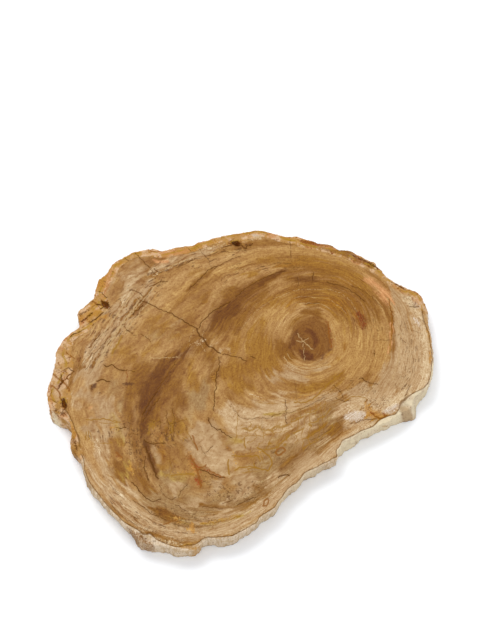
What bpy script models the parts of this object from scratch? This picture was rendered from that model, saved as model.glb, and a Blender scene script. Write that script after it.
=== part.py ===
# Petrified wood platter: one slab sawn across a trunk, flat above and below, its bark edge left rough.
# Metres, +Z up, +X along the slab's length. The origin is under the middle of the slab.
import math

import bmesh
import bpy
import numpy as np
from mathutils import Vector, noise

MM = 0.001

# Driving sizes.
slab_length = 380 * MM
slab_thickness = 20 * MM

# The wall leans in by this much at its foot, and its upper edge is worn down to a narrow shelf.
common_lean = 1.5 * MM
shelf_width = 1.2 * MM
shelf_drop = 0.8 * MM

# Points round the rim, and how far outside the traced line the rim runs.
rim_points = 400
trace_margin = 0.35 * MM

# The outline was traced in a slanted view from the front: the view's own middle, height above the
# horizon and distance, all in view units, put a traced place back on the sawn face.
view_middle = (240.0, 320.0)
view_elevation = math.radians(60)
view_distance = 1524.0
slab_middle = (1.6, -67.8)
slab_reach = 379.4

# The upper edge of the bark, clockwise from the left end, in view units.
rim_trace = [
    (48.0, 400), (47.5, 392), (49, 385), (51, 380), (53, 373), (54.5, 366), (56, 358), (56.5, 351),
    (61, 344), (65, 338), (71, 333), (78, 328), (80, 324), (79, 318), (77.5, 313), (80, 308.5),
    (85, 305), (90, 301), (94, 297), (96, 290), (98, 283), (99, 279), (104, 275.5), (108, 271.5),
    (112, 264.5), (118, 260.5), (124, 257), (130, 254), (134, 252), (141, 250.5), (148, 249),
    (155, 248.5), (159, 250.5), (163, 250.5), (170, 248.5), (176, 247), (183, 246), (190, 245.5),
    (194, 245), (197, 242.5), (204, 241), (210, 239.5), (214, 238), (221, 236.5), (228, 235),
    (234, 234), (240, 233.5), (247, 232), (254, 230.5), (260, 230.5), (267, 232), (275, 234),
    (283, 236), (290, 236.5), (297, 236), (303, 238), (310, 239.5), (320, 242.5), (331, 244.5),
    (335, 248), (340, 249.5), (348, 250), (356, 253), (362, 256), (369, 260), (375, 262), (377, 267),
    (381, 270), (384, 275), (390, 279), (396, 282.5), (402, 285), (408, 288), (415, 291), (420, 295),
    (423, 300), (426, 307), (427.5, 315), (428, 325), (430.5, 335), (431, 342), (432.5, 350),
    (433, 358), (432.5, 368), (431.5, 376), (429.5, 382), (427, 386), (422, 390), (416, 394),
    (413, 398.5), (412, 404), (407, 408.5), (401, 411.5), (397, 415), (393, 417.5), (389, 420.5),
    (384, 422.5), (378, 425), (371, 428.5), (363, 431), (357, 434.5), (350, 438), (343, 441),
    (341, 446), (337, 451), (338, 456.5), (334, 459), (329, 462), (323, 464.5), (317, 468),
    (311, 470.5), (305, 473.5), (302, 478), (297, 483.5), (290, 488), (286, 492.5), (283, 497),
    (279, 502), (275, 508), (268, 512.5), (260, 518), (257, 523), (250, 527), (243, 531.5),
    (238, 533.5), (233, 536.5), (224, 537.5), (214, 538.5), (206, 538.5), (202, 541.5), (199, 546),
    (195, 549), (187, 549.5), (178, 549), (170, 546.5), (162, 544.5), (154, 543.5), (146, 542),
    (139, 540), (135, 533.5), (131, 528.5), (124, 523), (117, 516.5), (110, 509.5), (104, 503),
    (99, 496.5), (94, 490), (89, 483), (86, 476), (83.5, 469), (83, 463), (81, 458), (76, 453),
    (72, 447), (70.5, 441), (72, 435), (72, 429), (71, 424), (68, 419.5), (62, 415.5), (57, 412),
    (51, 407.5),
]

# Stretches where the polished face stops short of the rim and the bark lies lower:
# place in view units, reach along the rim, width and drop.
broken_stretches = [
    {"name": "ochre lump", "at": (88, 313), "reach": 15 * MM, "width": 19 * MM, "drop": 3.6 * MM},
    {"name": "upper left bark", "at": (104, 276), "reach": 17 * MM, "width": 5 * MM, "drop": 1.4 * MM},
    {"name": "left bark", "at": (54, 366), "reach": 26 * MM, "width": 9 * MM, "drop": 1.2 * MM},
    {"name": "left pitted corner", "at": (57, 410), "reach": 12 * MM, "width": 9 * MM, "drop": 3 * MM},
    {"name": "left lower notch", "at": (72, 443), "reach": 12 * MM, "width": 8 * MM, "drop": 2.6 * MM},
    {"name": "back bark", "at": (172, 248), "reach": 30 * MM, "width": 4 * MM, "drop": 1.0 * MM},
    {"name": "back orange bark", "at": (312, 240), "reach": 24 * MM, "width": 6 * MM, "drop": 1.6 * MM},
    {"name": "back right bark", "at": (362, 256), "reach": 18 * MM, "width": 6 * MM, "drop": 1.8 * MM},
    {"name": "right shoulder", "at": (404, 286), "reach": 12 * MM, "width": 4 * MM, "drop": 2 * MM},
    {"name": "right bark", "at": (426, 312), "reach": 16 * MM, "width": 4 * MM, "drop": 0.8 * MM},
    {"name": "front right corner", "at": (411, 406), "reach": 10 * MM, "width": 9 * MM, "drop": 4 * MM},
    {"name": "front right crumbs", "at": (386, 421), "reach": 9 * MM, "width": 5 * MM, "drop": 1.6 * MM},
    {"name": "front lump", "at": (144, 541), "reach": 12 * MM, "width": 9 * MM, "drop": 2.6 * MM},
    {"name": "front pits", "at": (190, 549), "reach": 11 * MM, "width": 4 * MM, "drop": 1.6 * MM},
]

# Stretches where the wall bulges out on its way down, instead of leaning in.
bulging_stretches = [
    {"name": "left foot", "at": (58, 414), "reach": 15 * MM, "out": 5.6 * MM},
    {"name": "left lower foot", "at": (71, 440), "reach": 8 * MM, "out": 2.6 * MM},
    {"name": "front right foot", "at": (415, 405), "reach": 17 * MM, "out": 9 * MM},
    {"name": "front right step", "at": (350, 442), "reach": 11 * MM, "out": 5 * MM},
    {"name": "front foot", "at": (145, 546), "reach": 13 * MM, "out": 2.6 * MM},
    {"name": "front lip", "at": (200, 552), "reach": 10 * MM, "out": 0.8 * MM},
    {"name": "front hollow", "at": (318, 468), "reach": 20 * MM, "out": -0.9 * MM},
    {"name": "lower left wall", "at": (100, 500), "reach": 26 * MM, "out": -0.2 * MM},
    {"name": "back left wall", "at": (100, 280), "reach": 70 * MM, "out": 2.2 * MM},
    {"name": "back wall", "at": (250, 232), "reach": 90 * MM, "out": 2.0 * MM},
]

# Holes rotted into the wood before it turned to stone: place in view units, half sizes and turn.
hollows = [
    {"name": "back_hole", "at": (236, 243.5), "half": (5.2 * MM, 3.2 * MM, 6 * MM), "turn": -20},
    {"name": "left_hole", "at": (64, 403), "half": (2.6 * MM, 6.2 * MM, 5 * MM), "turn": 20},
    {"name": "lump_gap", "at": (105, 304.5), "half": (6.4 * MM, 3.4 * MM, 4.5 * MM), "turn": -42},
]

# The holes' own lumps, and how far under the face their middles lie.
hollow_lumps = {"height": 0.3, "along": 0.6, "up": 0.6, "seed": 0}
hollow_sink = 0.4 * MM

# Rows of the wall, as shares of its height, from the foot to the rim.
wall_rows = (0.0, 0.06, 0.2, 0.36, 0.52, 0.68, 0.83, 0.94, 1.0)

# Relief of the bark, each with its height and the size of its lumps along the wall and up it.
ribs = {"height": 1.1 * MM, "along": 13 * MM, "up": 52 * MM, "seed": 1}
ledges = {"height": 1.0 * MM, "along": 14 * MM, "up": 5 * MM, "seed": 5}
pits = {"height": 0.7 * MM, "along": 4.5 * MM, "up": 4.5 * MM, "seed": 9}
furrows = {"height": 1.9 * MM, "along": 10 * MM, "up": 33 * MM, "seed": 17}
furrow_floor = 0.45
fade_to_rim = 5
lean_curve = 1.3

# Unevenness of the wall's lean, and of the ledge between the rim and the polished face.
lean_change = {"height": 0.9 * MM, "along": 30 * MM, "up": 30 * MM, "seed": 11}
drop_change = {"height": 0.45, "along": 5 * MM, "up": 5 * MM, "seed": 3}
width_change = {"height": 0.25, "along": 9 * MM, "up": 9 * MM, "seed": 7}
ledge_lumps = {"height": 0.33, "along": 4 * MM, "up": 4 * MM, "seed": 13}
ledge_line = {"height": 0.18, "along": 6 * MM, "up": 6 * MM, "seed": 15}
ledge_low = 0.75


def on_slab(place):
    """A traced place, in metres on the plan of the slab."""
    across = place[0] - view_middle[0]
    up = view_middle[1] - place[1]
    nearness = 1 / (1 - up / (view_distance * math.tan(view_elevation)))
    scale = slab_length / slab_reach
    x = across * nearness - slab_middle[0]
    y = up * nearness / math.sin(view_elevation) - slab_middle[1]
    return np.array((x, y)) * scale


def rough(relief, x, y, z=0.0):
    """Smooth noise of this relief at a point."""
    seed = relief["seed"]
    along = relief["along"]
    place = Vector((x / along + seed, y / along - seed, z / relief["up"] + 2.3 * seed))
    return relief["height"] * noise.noise(place)


def furrow_depth(x, y, z):
    """Sharp valleys with rounded backs between them, running up the wall."""
    height = furrows["height"]
    return height * (math.sqrt(abs(rough(furrows, x, y, z)) / height) - furrow_floor)


def smooth_loop(points, steps=8):
    """A closed Catmull-Rom curve through the points."""
    found = []
    count = len(points)
    for i in range(count):
        a, b, c, d = (points[(i + k) % count] for k in (-1, 0, 1, 2))
        for step in range(steps):
            t = step / steps
            bend = 2 * a - 5 * b + 4 * c - d
            swing = 3 * b - a - 3 * c + d
            found.append(0.5 * (2 * b + (c - a) * t + bend * t**2 + swing * t**3))
    return np.array(found)


def even_loop(loop, count):
    """The loop as this many points, evenly spaced."""
    closed = np.vstack((loop, loop[:1]))
    along = np.concatenate(([0], np.cumsum(np.linalg.norm(np.diff(closed, axis=0), axis=1))))
    wanted = np.linspace(0, along[-1], count, endpoint=False)
    return np.stack([np.interp(wanted, along, closed[:, k]) for k in (0, 1)], axis=1)


def outward(loop, spread):
    """Unit normals of a clockwise loop, pointing out, smoothed over this many neighbours each way."""
    eased = sum(np.roll(loop, k, axis=0) for k in range(-spread, spread + 1)) / (2 * spread + 1)
    run = np.roll(eased, -1, axis=0) - np.roll(eased, 1, axis=0)
    normal = np.stack((-run[:, 1], run[:, 0]), axis=1)
    return normal / np.linalg.norm(normal, axis=1, keepdims=True)


def share_of(rim, stretch):
    """How much of a stretch each rim point has, from 0 to 1."""
    away = np.linalg.norm(rim - on_slab(stretch["at"]), axis=1)
    return np.exp(-((away / stretch["reach"]) ** 2))


def build_rim():
    """The rim's points, its normals, and at each point the shelf's width and drop and the wall's lean."""
    rim = even_loop(smooth_loop([on_slab(place) for place in rim_trace]), rim_points)
    normal = outward(rim, 4)
    rim = rim + normal * trace_margin
    width = np.full(rim_points, shelf_width)
    drop = np.full(rim_points, shelf_drop)
    lean = np.full(rim_points, common_lean)
    for stretch in broken_stretches:
        share = share_of(rim, stretch)
        width = width + share * stretch["width"]
        drop = drop + share * stretch["drop"]
    for stretch in bulging_stretches:
        lean = lean - share_of(rim, stretch) * stretch["out"]
    for i, (x, y) in enumerate(rim):
        drop[i] *= 1 + rough(drop_change, x, y)
        width[i] *= 1 + rough(width_change, x, y)
        lean[i] += rough(lean_change, x, y)
    return rim, normal, width, drop, lean


def wall_point(place, normal, lean, top, row):
    """One point of the bark: it leans in towards the foot, and carries ribs, furrows, ledges and pits."""
    x, y = place
    z = top * row
    relief = furrow_depth(x, y, z) + sum(rough(form, x, y, z) for form in (ribs, ledges, pits))
    out = relief * min(1.0, (1 - row) * fade_to_rim) - lean * (1 - row) ** lean_curve
    return (x + normal[0] * out, y + normal[1] * out, z)


def shelf_rows(rim, normal, width, drop):
    """The bark's upper ledge: a lumpy row halfway in, then the polished face's own edge."""
    middle = []
    edge = []
    for (x, y), (u, v), wide, low in zip(rim, normal, width, drop):
        inset = wide * (0.5 + rough(ledge_line, x, y))
        below = low * (ledge_low - rough(ledge_lumps, x, y))
        middle.append((x - u * inset, y - v * inset, slab_thickness - below))
        edge.append((x - u * wide, y - v * wide, slab_thickness))
    return middle, edge


def build_slab():
    """The slab: two sawn faces, and between them the bark, row by row."""
    rim, normal, width, drop, lean = build_rim()
    shape = bmesh.new()
    rows = []
    for row in wall_rows:
        rows.append([
            wall_point(rim[i], normal[i], lean[i], slab_thickness - drop[i], row) for i in range(rim_points)
        ])
    rows += shelf_rows(rim, normal, width, drop)
    made = [[shape.verts.new(point) for point in row] for row in rows]
    for lower, upper in zip(made, made[1:]):
        for i in range(rim_points):
            j = (i + 1) % rim_points
            shape.faces.new((lower[i], upper[i], upper[j], lower[j]))
    shape.faces.new(made[0])
    shape.faces.new(made[-1][::-1])
    bmesh.ops.recalc_face_normals(shape, faces=shape.faces)
    return object_from(shape, "petrified_wood_slab")


def build_hollow(hollow):
    """A lumpy egg that cuts one hole."""
    shape = bmesh.new()
    bmesh.ops.create_icosphere(shape, subdivisions=2, radius=1)
    for vert in shape.verts:
        vert.co *= 1 + rough(hollow_lumps, vert.co.x + hollow["at"][0], vert.co.y, vert.co.z)
        vert.co = Vector(a * b for a, b in zip(vert.co, hollow["half"]))
    cutter = object_from(shape, hollow["name"])
    x, y = on_slab(hollow["at"])
    cutter.location = (x, y, slab_thickness - hollow_sink)
    cutter.rotation_euler.z = math.radians(hollow["turn"])
    cutter.hide_render = True
    cutter.display_type = "WIRE"
    return cutter


def object_from(shape, name):
    mesh = bpy.data.meshes.new(name)
    shape.to_mesh(mesh)
    shape.free()
    made = bpy.data.objects.new(name, mesh)
    bpy.context.scene.collection.objects.link(made)
    return made


def stone_material():
    """Polished agatised wood: warm tan, half glossy."""
    stone = bpy.data.materials.new("petrified_wood")
    stone.use_nodes = True
    shader = stone.node_tree.nodes["Principled BSDF"]
    shader.inputs["Base Color"].default_value = (0.46, 0.28, 0.13, 1)
    shader.inputs["Roughness"].default_value = 0.35
    shader.inputs["Metallic"].default_value = 0
    return stone


def main():
    for old in list(bpy.data.objects):
        bpy.data.objects.remove(old)
    slab = build_slab()
    slab.data.materials.append(stone_material())
    for hollow in hollows:
        cut = slab.modifiers.new(hollow["name"], "BOOLEAN")
        cut.operation = "DIFFERENCE"
        cut.object = build_hollow(hollow)
    slab.data.shade_smooth()
    slab.data.set_sharp_from_angle(angle=math.radians(35))


main()
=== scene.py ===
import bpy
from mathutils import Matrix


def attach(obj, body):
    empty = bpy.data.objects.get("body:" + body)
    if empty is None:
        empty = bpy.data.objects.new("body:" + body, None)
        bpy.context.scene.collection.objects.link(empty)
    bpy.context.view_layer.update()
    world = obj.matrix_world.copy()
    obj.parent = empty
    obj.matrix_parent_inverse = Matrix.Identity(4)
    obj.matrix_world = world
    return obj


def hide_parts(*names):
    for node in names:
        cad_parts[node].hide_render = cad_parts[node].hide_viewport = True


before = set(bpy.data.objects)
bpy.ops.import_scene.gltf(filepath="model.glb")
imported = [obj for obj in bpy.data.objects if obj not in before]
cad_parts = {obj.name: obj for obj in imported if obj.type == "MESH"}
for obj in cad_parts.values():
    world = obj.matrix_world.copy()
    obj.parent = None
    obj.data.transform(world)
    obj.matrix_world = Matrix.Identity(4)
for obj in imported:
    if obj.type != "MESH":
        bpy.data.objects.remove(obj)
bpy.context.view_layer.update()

import math

import bmesh
import bpy
import numpy as np
from mathutils import Vector, geometry, noise

mm = 0.001

# The marks on the face were read off a slanted view of the slab; its places are in view units.
# These are the numbers that put a read place back on the polished face, in metres.
view = {
    "middle": (240.0, 320.0),
    "elevation": math.radians(60),
    "distance": 1524.0,
    "slabMiddle": (1.6, -67.8),
    "unit": 380 * mm / 379.4,
    "frameHeight": 640,
}

slab = {
    "node": "petrified_wood_slab",
    "seed": 7,
    "gridStep": 1.45 * mm,      # spacing of the polished face's points
    "underStep": 6 * mm,        # and of the underside's
    "jitter": 0.18,             # how far they stray, as a share of their spacing
    "cell": 1 * mm,             # cells in which near points are looked up, and spacing of the rim's points
    "clear": 0.806,             # the net's points keep this share of their spacing from the rim and lines
    "clearStep": 1.7 * mm,      # and the most that the spacing counts for there
    "lineStep": 1.3 * mm,       # spacing of the points along a crack
    "jag": 1.5 * mm,            # how far cracks stray from a smooth course, and over what length
    "jagSize": 3 * mm,
    "knot": 7,                  # the most points that a knot in the rim's line has
    "wallCuts": 2,              # new points on each edge of the bark
    "smoothing": 3,             # rounds of smoothing, and how far each pulls a point to its neighbours
    "pull": 0.55,
    "flat": 0.01 * mm,          # a point this near the height of a flat face lies on it
    "gap": 0.05 * mm,           # the bark's other points keep this far from both faces
    "sharp": math.radians(48),  # edges bent by more than this are shaded sharp
}

relief = {
    "ridge": 0.7 * mm,          # upright ridges of the bark
    "ridgeSize": (3.2 * mm, 14 * mm),   # their size along the wall and up it
    "grit": 0.32 * mm,          # its small lumps, of two sizes
    "gritSize": (1.5 * mm, 1.5 * mm),
    "lumpSize": (3 * mm, 2 * mm),
    "crackDepth": 0.12 * mm,
    "veinDepth": 0.03 * mm,
    "rough": 1.1 * mm,          # how lumpy the unpolished margin of the face is
    "roughSize": (4.5 * mm, 4.5 * mm),  # its lumps, large and small
    "roughFine": (2.1 * mm, 2.1 * mm),
    "roughReach": 18 * mm,      # how far in from the rim it lies
    "warmReach": 7 * mm,        # and how far where the bark is warm
    "rimWidth": 0.3 * mm,       # points nearer the rim than this are lowered less
}


def toSlab(points):
    points = np.asarray(points, float).reshape(-1, 2)
    across = points[:, 0] - view["middle"][0]
    up = view["middle"][1] - points[:, 1]
    nearness = 1 / (1 - up / (view["distance"] * math.tan(view["elevation"])))
    x = across * nearness - view["slabMiddle"][0]
    y = up * nearness / math.sin(view["elevation"]) - view["slabMiddle"][1]
    return np.stack((x, y), axis=1) * view["unit"]


# Growth rings: closed lines from the core to the rim, clockwise, with the value each one carries.
pith = (305, 343)
ringLines = [
    (9, [(297, 343), (300, 336), (305, 333), (311, 336), (314, 343), (313, 352), (307, 356),
         (300, 352)]),
    (20, [(287, 345), (291, 330), (300, 319), (312, 315), (325, 320), (332, 333), (333, 350),
         (326, 360), (312, 366), (298, 363), (290, 356)]),
    (33, [(275, 345), (279, 328), (288, 312), (300, 303), (316, 301), (332, 303), (345, 314),
         (350, 330), (350, 346), (342, 361), (327, 371), (308, 376), (290, 372), (279, 362)]),
    (47, [(258, 350), (264, 328), (275, 309), (292, 295), (311, 291), (330, 290), (346, 297),
         (357, 311), (362, 328), (361, 348), (352, 368), (336, 384), (312, 396), (288, 398), (268, 388),
         (259, 370)]),
    (60, [(226, 362), (234, 338), (247, 318), (264, 300), (286, 286), (311, 280), (334, 279),
         (352, 289), (366, 305), (373, 324), (374, 345), (366, 366), (350, 384), (325, 399), (293, 413),
         (268, 419), (244, 417), (229, 403), (223, 384)]),
    (82, [(146, 410), (160, 384), (180, 358), (204, 332), (219, 310), (236, 295), (253, 284),
         (270, 275), (306, 267), (332, 268), (356, 278), (375, 294), (388, 312), (393, 332), (393, 355),
         (386, 378), (370, 400), (340, 424), (310, 448), (280, 474), (250, 497), (215, 508), (180, 503),
         (158, 490), (146, 465), (141, 436)]),
    (104, [(72, 405), (88, 371), (111, 342), (134, 314), (150, 302), (180, 281), (206, 262), (240, 251),
         (290, 247), (335, 254), (372, 272), (395, 293), (410, 318), (414, 345), (410, 372), (395, 397),
         (366, 420), (330, 446), (296, 474), (262, 503), (236, 522), (200, 529), (160, 522), (128, 503),
         (102, 476), (85, 445), (75, 424)]),
    (124, [(40, 405), (58, 345), (82, 305), (110, 262), (150, 240), (200, 236), (254, 226), (300, 232),
         (345, 244), (385, 268), (420, 290), (432, 325), (436, 360), (428, 392), (405, 412), (375, 430),
         (340, 452), (310, 478), (280, 510), (250, 532), (205, 548), (150, 548), (110, 516), (85, 480),
         (66, 440), (46, 420)]),
]

# Stains by colour, with the small marks and those on the bark, and the walls' painted light and shade:
# each is a line of places, its half width in millimetres and its strength.
stains = {
    "taupe": [
        ([(236, 534), (246, 530)], 4, 0.8), ([(204, 384), (200, 404)], 9, 0.8),
        ([(330, 360), (318, 364)], 6, 0.6),
        ([(150, 500), (190, 512), (240, 504), (268, 474), (300, 446), (336, 414)], 24, 1),
        ([(176, 484), (160, 470)], 14, 1), ([(345, 372), (366, 352)], 10, 0.3),
        ([(200, 530), (230, 524)], 8, 0.6), ([(108, 470), (126, 500)], 12, 0.5),
        ([(116, 380), (122, 408)], 12, 0.6), ([(150, 332), (176, 330)], 12, 0.6),
        ([(196, 384), (190, 420)], 14, 0.5),
    ],
    "honey": [
        ([(330, 312), (341, 326), (345, 345), (338, 362)], 8, 1),
        ([(274, 322), (284, 310), (298, 303)], 7, 0.8), ([(290, 366), (312, 372), (332, 366)], 6, 0.8),
        ([(160, 310), (176, 296), (198, 280), (228, 264), (262, 255)], 8, 0.7),
        ([(264, 322), (272, 308), (282, 300)], 9, 0.8),
        ([(255, 254), (300, 251), (338, 258), (362, 270)], 8, 0.8), ([(128, 345), (122, 365)], 9, 0.7),
        ([(340, 328), (356, 346), (350, 370)], 18, 1), ([(376, 325), (382, 350), (374, 374)], 9, 0.9),
        ([(120, 484), (128, 496), (145, 508)], 5, 0.4), ([(84, 428), (92, 446)], 7, 0.5),
        ([(196, 414), (200, 430)], 8, 0.5), ([(286, 378), (322, 378)], 9, 0.6),
    ],
    "golden": [
        ([(162, 326), (178, 334)], 8, 0.7), ([(116, 432), (122, 448)], 7, 0.9),
        ([(264, 296), (276, 304)], 8, 0.7), ([(192, 272), (208, 266)], 6, 0.6),
        ([(330, 306), (346, 318), (356, 334)], 8, 0.6), ([(236, 320), (250, 304)], 7, 0.5),
        ([(186, 356), (196, 372)], 6, 0.4), ([(262, 322), (250, 336)], 10, 0.6),
        ([(280, 350), (292, 358)], 6, 0.9), ([(330, 392), (342, 378)], 7, 0.6),
        ([(146, 296), (140, 308)], 8, 0.7), ([(158, 344), (146, 350)], 9, 0.6),
        ([(152, 424), (160, 418)], 8, 0.8), ([(236, 346), (224, 354)], 8, 0.6),
        ([(244, 276), (256, 272)], 6, 0.8), ([(214, 306), (222, 296)], 8, 0.5),
        ([(262, 262), (300, 262), (345, 274), (368, 296)], 13, 0.8),
        ([(300, 300), (330, 298), (356, 316)], 8, 0.6), ([(220, 276), (200, 290), (180, 302)], 12, 0.4),
        ([(256, 348), (270, 372), (300, 384)], 12, 0.5),
        ([(222, 374), (242, 370), (264, 358), (280, 348)], 15, 1), ([(232, 388), (250, 390)], 10, 0.9),
        ([(290, 290), (320, 288), (348, 300)], 12, 0.8), ([(300, 262), (340, 268), (366, 282)], 7, 0.7),
        ([(122, 348), (134, 366)], 12, 0.7), ([(300, 392), (326, 384), (344, 374)], 6, 0.8),
        ([(176, 420), (190, 432), (186, 450)], 9, 0.8), ([(192, 372), (198, 386)], 10, 0.7),
        ([(262, 338), (250, 350)], 8, 0.7), ([(152, 325), (140, 338)], 9, 0.5),
        ([(146, 314), (160, 328), (184, 314)], 8, 0.4),
        ([(244, 318), (262, 304), (290, 298), (330, 304)], 8, 0.6), ([(242, 330), (232, 348)], 9, 0.7),
        ([(350, 384), (366, 396)], 6, 0.5), ([(160, 470), (176, 462)], 7, 0.6),
        ([(208, 516), (240, 510), (268, 496)], 5, 0.7), ([(132, 356), (136, 368)], 6, 0.6),
        ([(325, 302), (338, 316)], 6, 0.5), ([(230, 455), (252, 460)], 6, 0.4),
    ],
    "greyBeige": [
        ([(402, 326), (408, 350), (404, 376)], 9, 0.8), ([(172, 492), (176, 484)], 5, 0.8),
        ([(106, 316), (118, 308)], 6, 0.9), ([(394, 294), (402, 308), (404, 325)], 7, 1),
        ([(352, 396), (364, 394), (382, 396)], 7, 0.35), ([(178, 322), (168, 334)], 6, 0.5),
        ([(96, 412), (114, 424), (122, 440)], 7, 0.8), ([(184, 352), (172, 364)], 6, 0.6),
        ([(138, 264), (122, 288), (128, 300)], 17, 0.55),
        ([(164, 264), (186, 256), (212, 251)], 8, 0.8), ([(268, 378), (288, 374), (304, 380)], 8, 0.8),
        ([(196, 426), (190, 444), (204, 462)], 9, 0.9), ([(290, 440), (310, 456), (296, 470)], 9, 0.8),
        ([(220, 482), (214, 490)], 7, 0.8), ([(392, 366), (386, 384)], 10, 0.9),
        ([(150, 285), (140, 300), (118, 326), (100, 352), (90, 384)], 10, 1),
        ([(80, 394), (108, 404)], 10, 0.9), ([(76, 378), (84, 366)], 6, 0.8),
        ([(84, 426), (100, 432), (112, 430)], 8, 0.9), ([(196, 524), (222, 519)], 6, 1),
        ([(152, 446), (159, 464)], 5, 0.6), ([(112, 418), (104, 408)], 10, 0.9),
        ([(97, 440), (100, 462), (112, 486)], 7, 0.5), ([(175, 484)], 8, 0.3),
        ([(248, 474), (240, 492)], 13, 1), ([(206, 428), (216, 448), (224, 470)], 13, 0.9),
        ([(236, 446), (262, 440)], 10, 0.9), ([(398, 318), (402, 350), (396, 378), (384, 394)], 9, 1),
        ([(416, 336), (414, 372), (402, 394)], 9, 0.9),
        ([(252, 408), (285, 406), (312, 402), (335, 394)], 7, 0.7), ([(182, 358), (198, 346)], 6, 0.5),
        ([(208, 492), (186, 508)], 8, 0.7), ([(130, 500), (150, 514)], 7, 0.7),
        ([(352, 392), (384, 392)], 10, 1), ([(316, 460), (290, 474)], 7, 0.7),
        ([(286, 366), (304, 372), (326, 368)], 5, 0.6), ([(136, 410), (128, 430)], 6, 0.5),
        ([(392, 292), (404, 304)], 7, 0.8), ([(215, 520), (245, 508)], 4, 0.4),
    ],
    "pinkBeige": [
        ([(96, 448), (102, 470), (116, 494), (136, 512)], 6, 0.7), ([(318, 354), (324, 358)], 3, 0.6),
        ([(206, 458), (216, 462)], 6, 0.8), ([(120, 482), (134, 496)], 6, 0.6),
        ([(232, 428), (250, 430)], 8, 0.8), ([(70, 396), (80, 408)], 7, 0.7),
        ([(344, 420), (354, 416)], 6, 1), ([(386, 412), (398, 406)], 8, 1),
        ([(428, 340), (429, 372), (424, 392)], 4, 1), ([(60, 350), (58, 376), (57, 398)], 8, 0.9),
        ([(50, 414), (56, 424)], 6, 0.8), ([(222, 408), (238, 418), (262, 416), (290, 408)], 11, 1),
        ([(252, 430), (290, 428), (314, 416)], 7, 0.7), ([(268, 398), (288, 394)], 6, 0.6),
        ([(404, 296), (420, 312), (424, 345), (418, 380), (404, 400)], 10, 1),
        ([(340, 410), (356, 404), (392, 406)], 9, 1), ([(344, 428), (372, 418)], 5, 0.8),
        ([(150, 524), (176, 534), (212, 534), (242, 522), (268, 504), (292, 482), (318, 463),
          (344, 443), (372, 424)], 7, 1),
        ([(84, 458), (94, 480), (108, 500), (128, 518), (148, 532)], 6, 0.6),
        ([(104, 440), (106, 456)], 6, 0.6), ([(200, 440), (216, 450), (228, 462)], 10, 0.9),
        ([(228, 500), (222, 520), (240, 512)], 7, 0.9), ([(300, 438), (314, 426)], 6, 0.8),
        ([(268, 484), (282, 470)], 6, 0.8), ([(398, 314), (403, 345), (400, 372)], 5, 1),
        ([(414, 318), (418, 348), (413, 378)], 6, 0.9), ([(84, 372), (98, 348), (118, 322)], 4, 0.8),
        ([(84, 356), (104, 330)], 5, 0.7), ([(150, 272), (172, 262)], 5, 0.7),
        ([(112, 290), (124, 276)], 8, 0.5), ([(230, 352), (212, 343)], 4, 0.5),
        ([(112, 494), (136, 512), (160, 524)], 5, 0.8), ([(376, 400), (400, 396)], 9, 1),
        ([(216, 470), (222, 456)], 6, 0.5), ([(318, 444), (342, 430)], 4, 0.4),
    ],
    "brown": [
        ([(150, 292), (132, 314), (112, 342)], 1.3, 0.9),
        ([(140, 296), (122, 318), (104, 344), (92, 368)], 1.3, 0.9),
        ([(158, 282), (140, 300), (124, 322)], 1.1, 0.8),
        ([(130, 300), (112, 324), (96, 350)], 1.1, 0.8),
        ([(120, 304), (104, 326), (90, 346)], 1.3, 0.8),
        ([(296, 240), (330, 246), (356, 256), (372, 266)], 4, 1), ([(362, 403), (370, 410)], 4, 0.8),
        ([(158, 418), (160, 430)], 7, 0.7), ([(92, 385), (92, 391)], 4, 0.9),
        ([(76, 362), (82, 370)], 5, 0.7), ([(128, 530), (142, 539), (156, 544)], 4, 0.8),
        ([(284, 350), (293, 358)], 7, 1), ([(200, 549), (218, 547)], 5, 1),
        ([(72, 436), (75, 450)], 5, 0.8), ([(194, 462), (198, 486)], 6, 0.5),
        ([(206, 284), (204, 300)], 6, 0.5), ([(162, 250), (172, 254)], 4, 0.5),
        ([(242, 294), (228, 308), (218, 328)], 20, 1), ([(250, 288), (266, 280)], 10, 0.9),
        ([(170, 364), (157, 386), (148, 415)], 20, 1), ([(142, 430), (146, 456), (158, 478)], 9, 0.45),
        ([(204, 336), (186, 350)], 14, 0.7), ([(176, 400), (172, 440), (182, 466)], 13, 0.5),
        ([(127, 404), (134, 440), (142, 472), (154, 490)], 7, 0.7),
        ([(130, 350), (140, 372), (132, 396)], 9, 0.5), ([(252, 376), (250, 394)], 7, 0.5),
        ([(186, 486), (172, 502)], 6, 0.4), ([(248, 300), (262, 296)], 8, 0.5),
        ([(262, 281), (284, 272), (310, 269), (338, 276)], 6, 0.7),
        ([(288, 276), (312, 284), (332, 284)], 9, 0.75), ([(300, 296), (320, 298)], 9, 0.7),
        ([(308, 311), (322, 312)], 7, 0.9), ([(144, 300), (140, 312)], 8, 0.6),
        ([(276, 340), (282, 356)], 8, 0.7), ([(346, 300), (356, 314)], 6, 0.6),
        ([(330, 284), (352, 292), (366, 306), (370, 322)], 8, 0.65),
        ([(354, 286), (372, 302), (382, 322)], 5, 0.5), ([(204, 345), (213, 362), (211, 382)], 10, 0.8),
        ([(244, 318), (238, 332)], 8, 0.6), ([(302, 243), (335, 250), (378, 268)], 3.5, 0.8),
        ([(276, 286), (258, 300), (244, 318)], 6, 0.5), ([(256, 486), (268, 494)], 6, 0.6),
        ([(150, 506), (166, 516), (178, 519)], 6, 0.9), ([(196, 505), (232, 507), (256, 502)], 3, 0.7),
        ([(330, 434), (340, 426)], 7, 0.8), ([(328, 424), (304, 438)], 7, 0.6),
        ([(306, 450), (282, 468)], 8, 0.6), ([(192, 288), (204, 276), (216, 268)], 4, 0.8),
        ([(118, 462), (124, 478)], 8, 0.85), ([(132, 474), (142, 486), (152, 496)], 5, 0.6),
        ([(290, 452), (320, 440)], 5, 0.4), ([(362, 380), (376, 384)], 2, 0.6),
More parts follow.
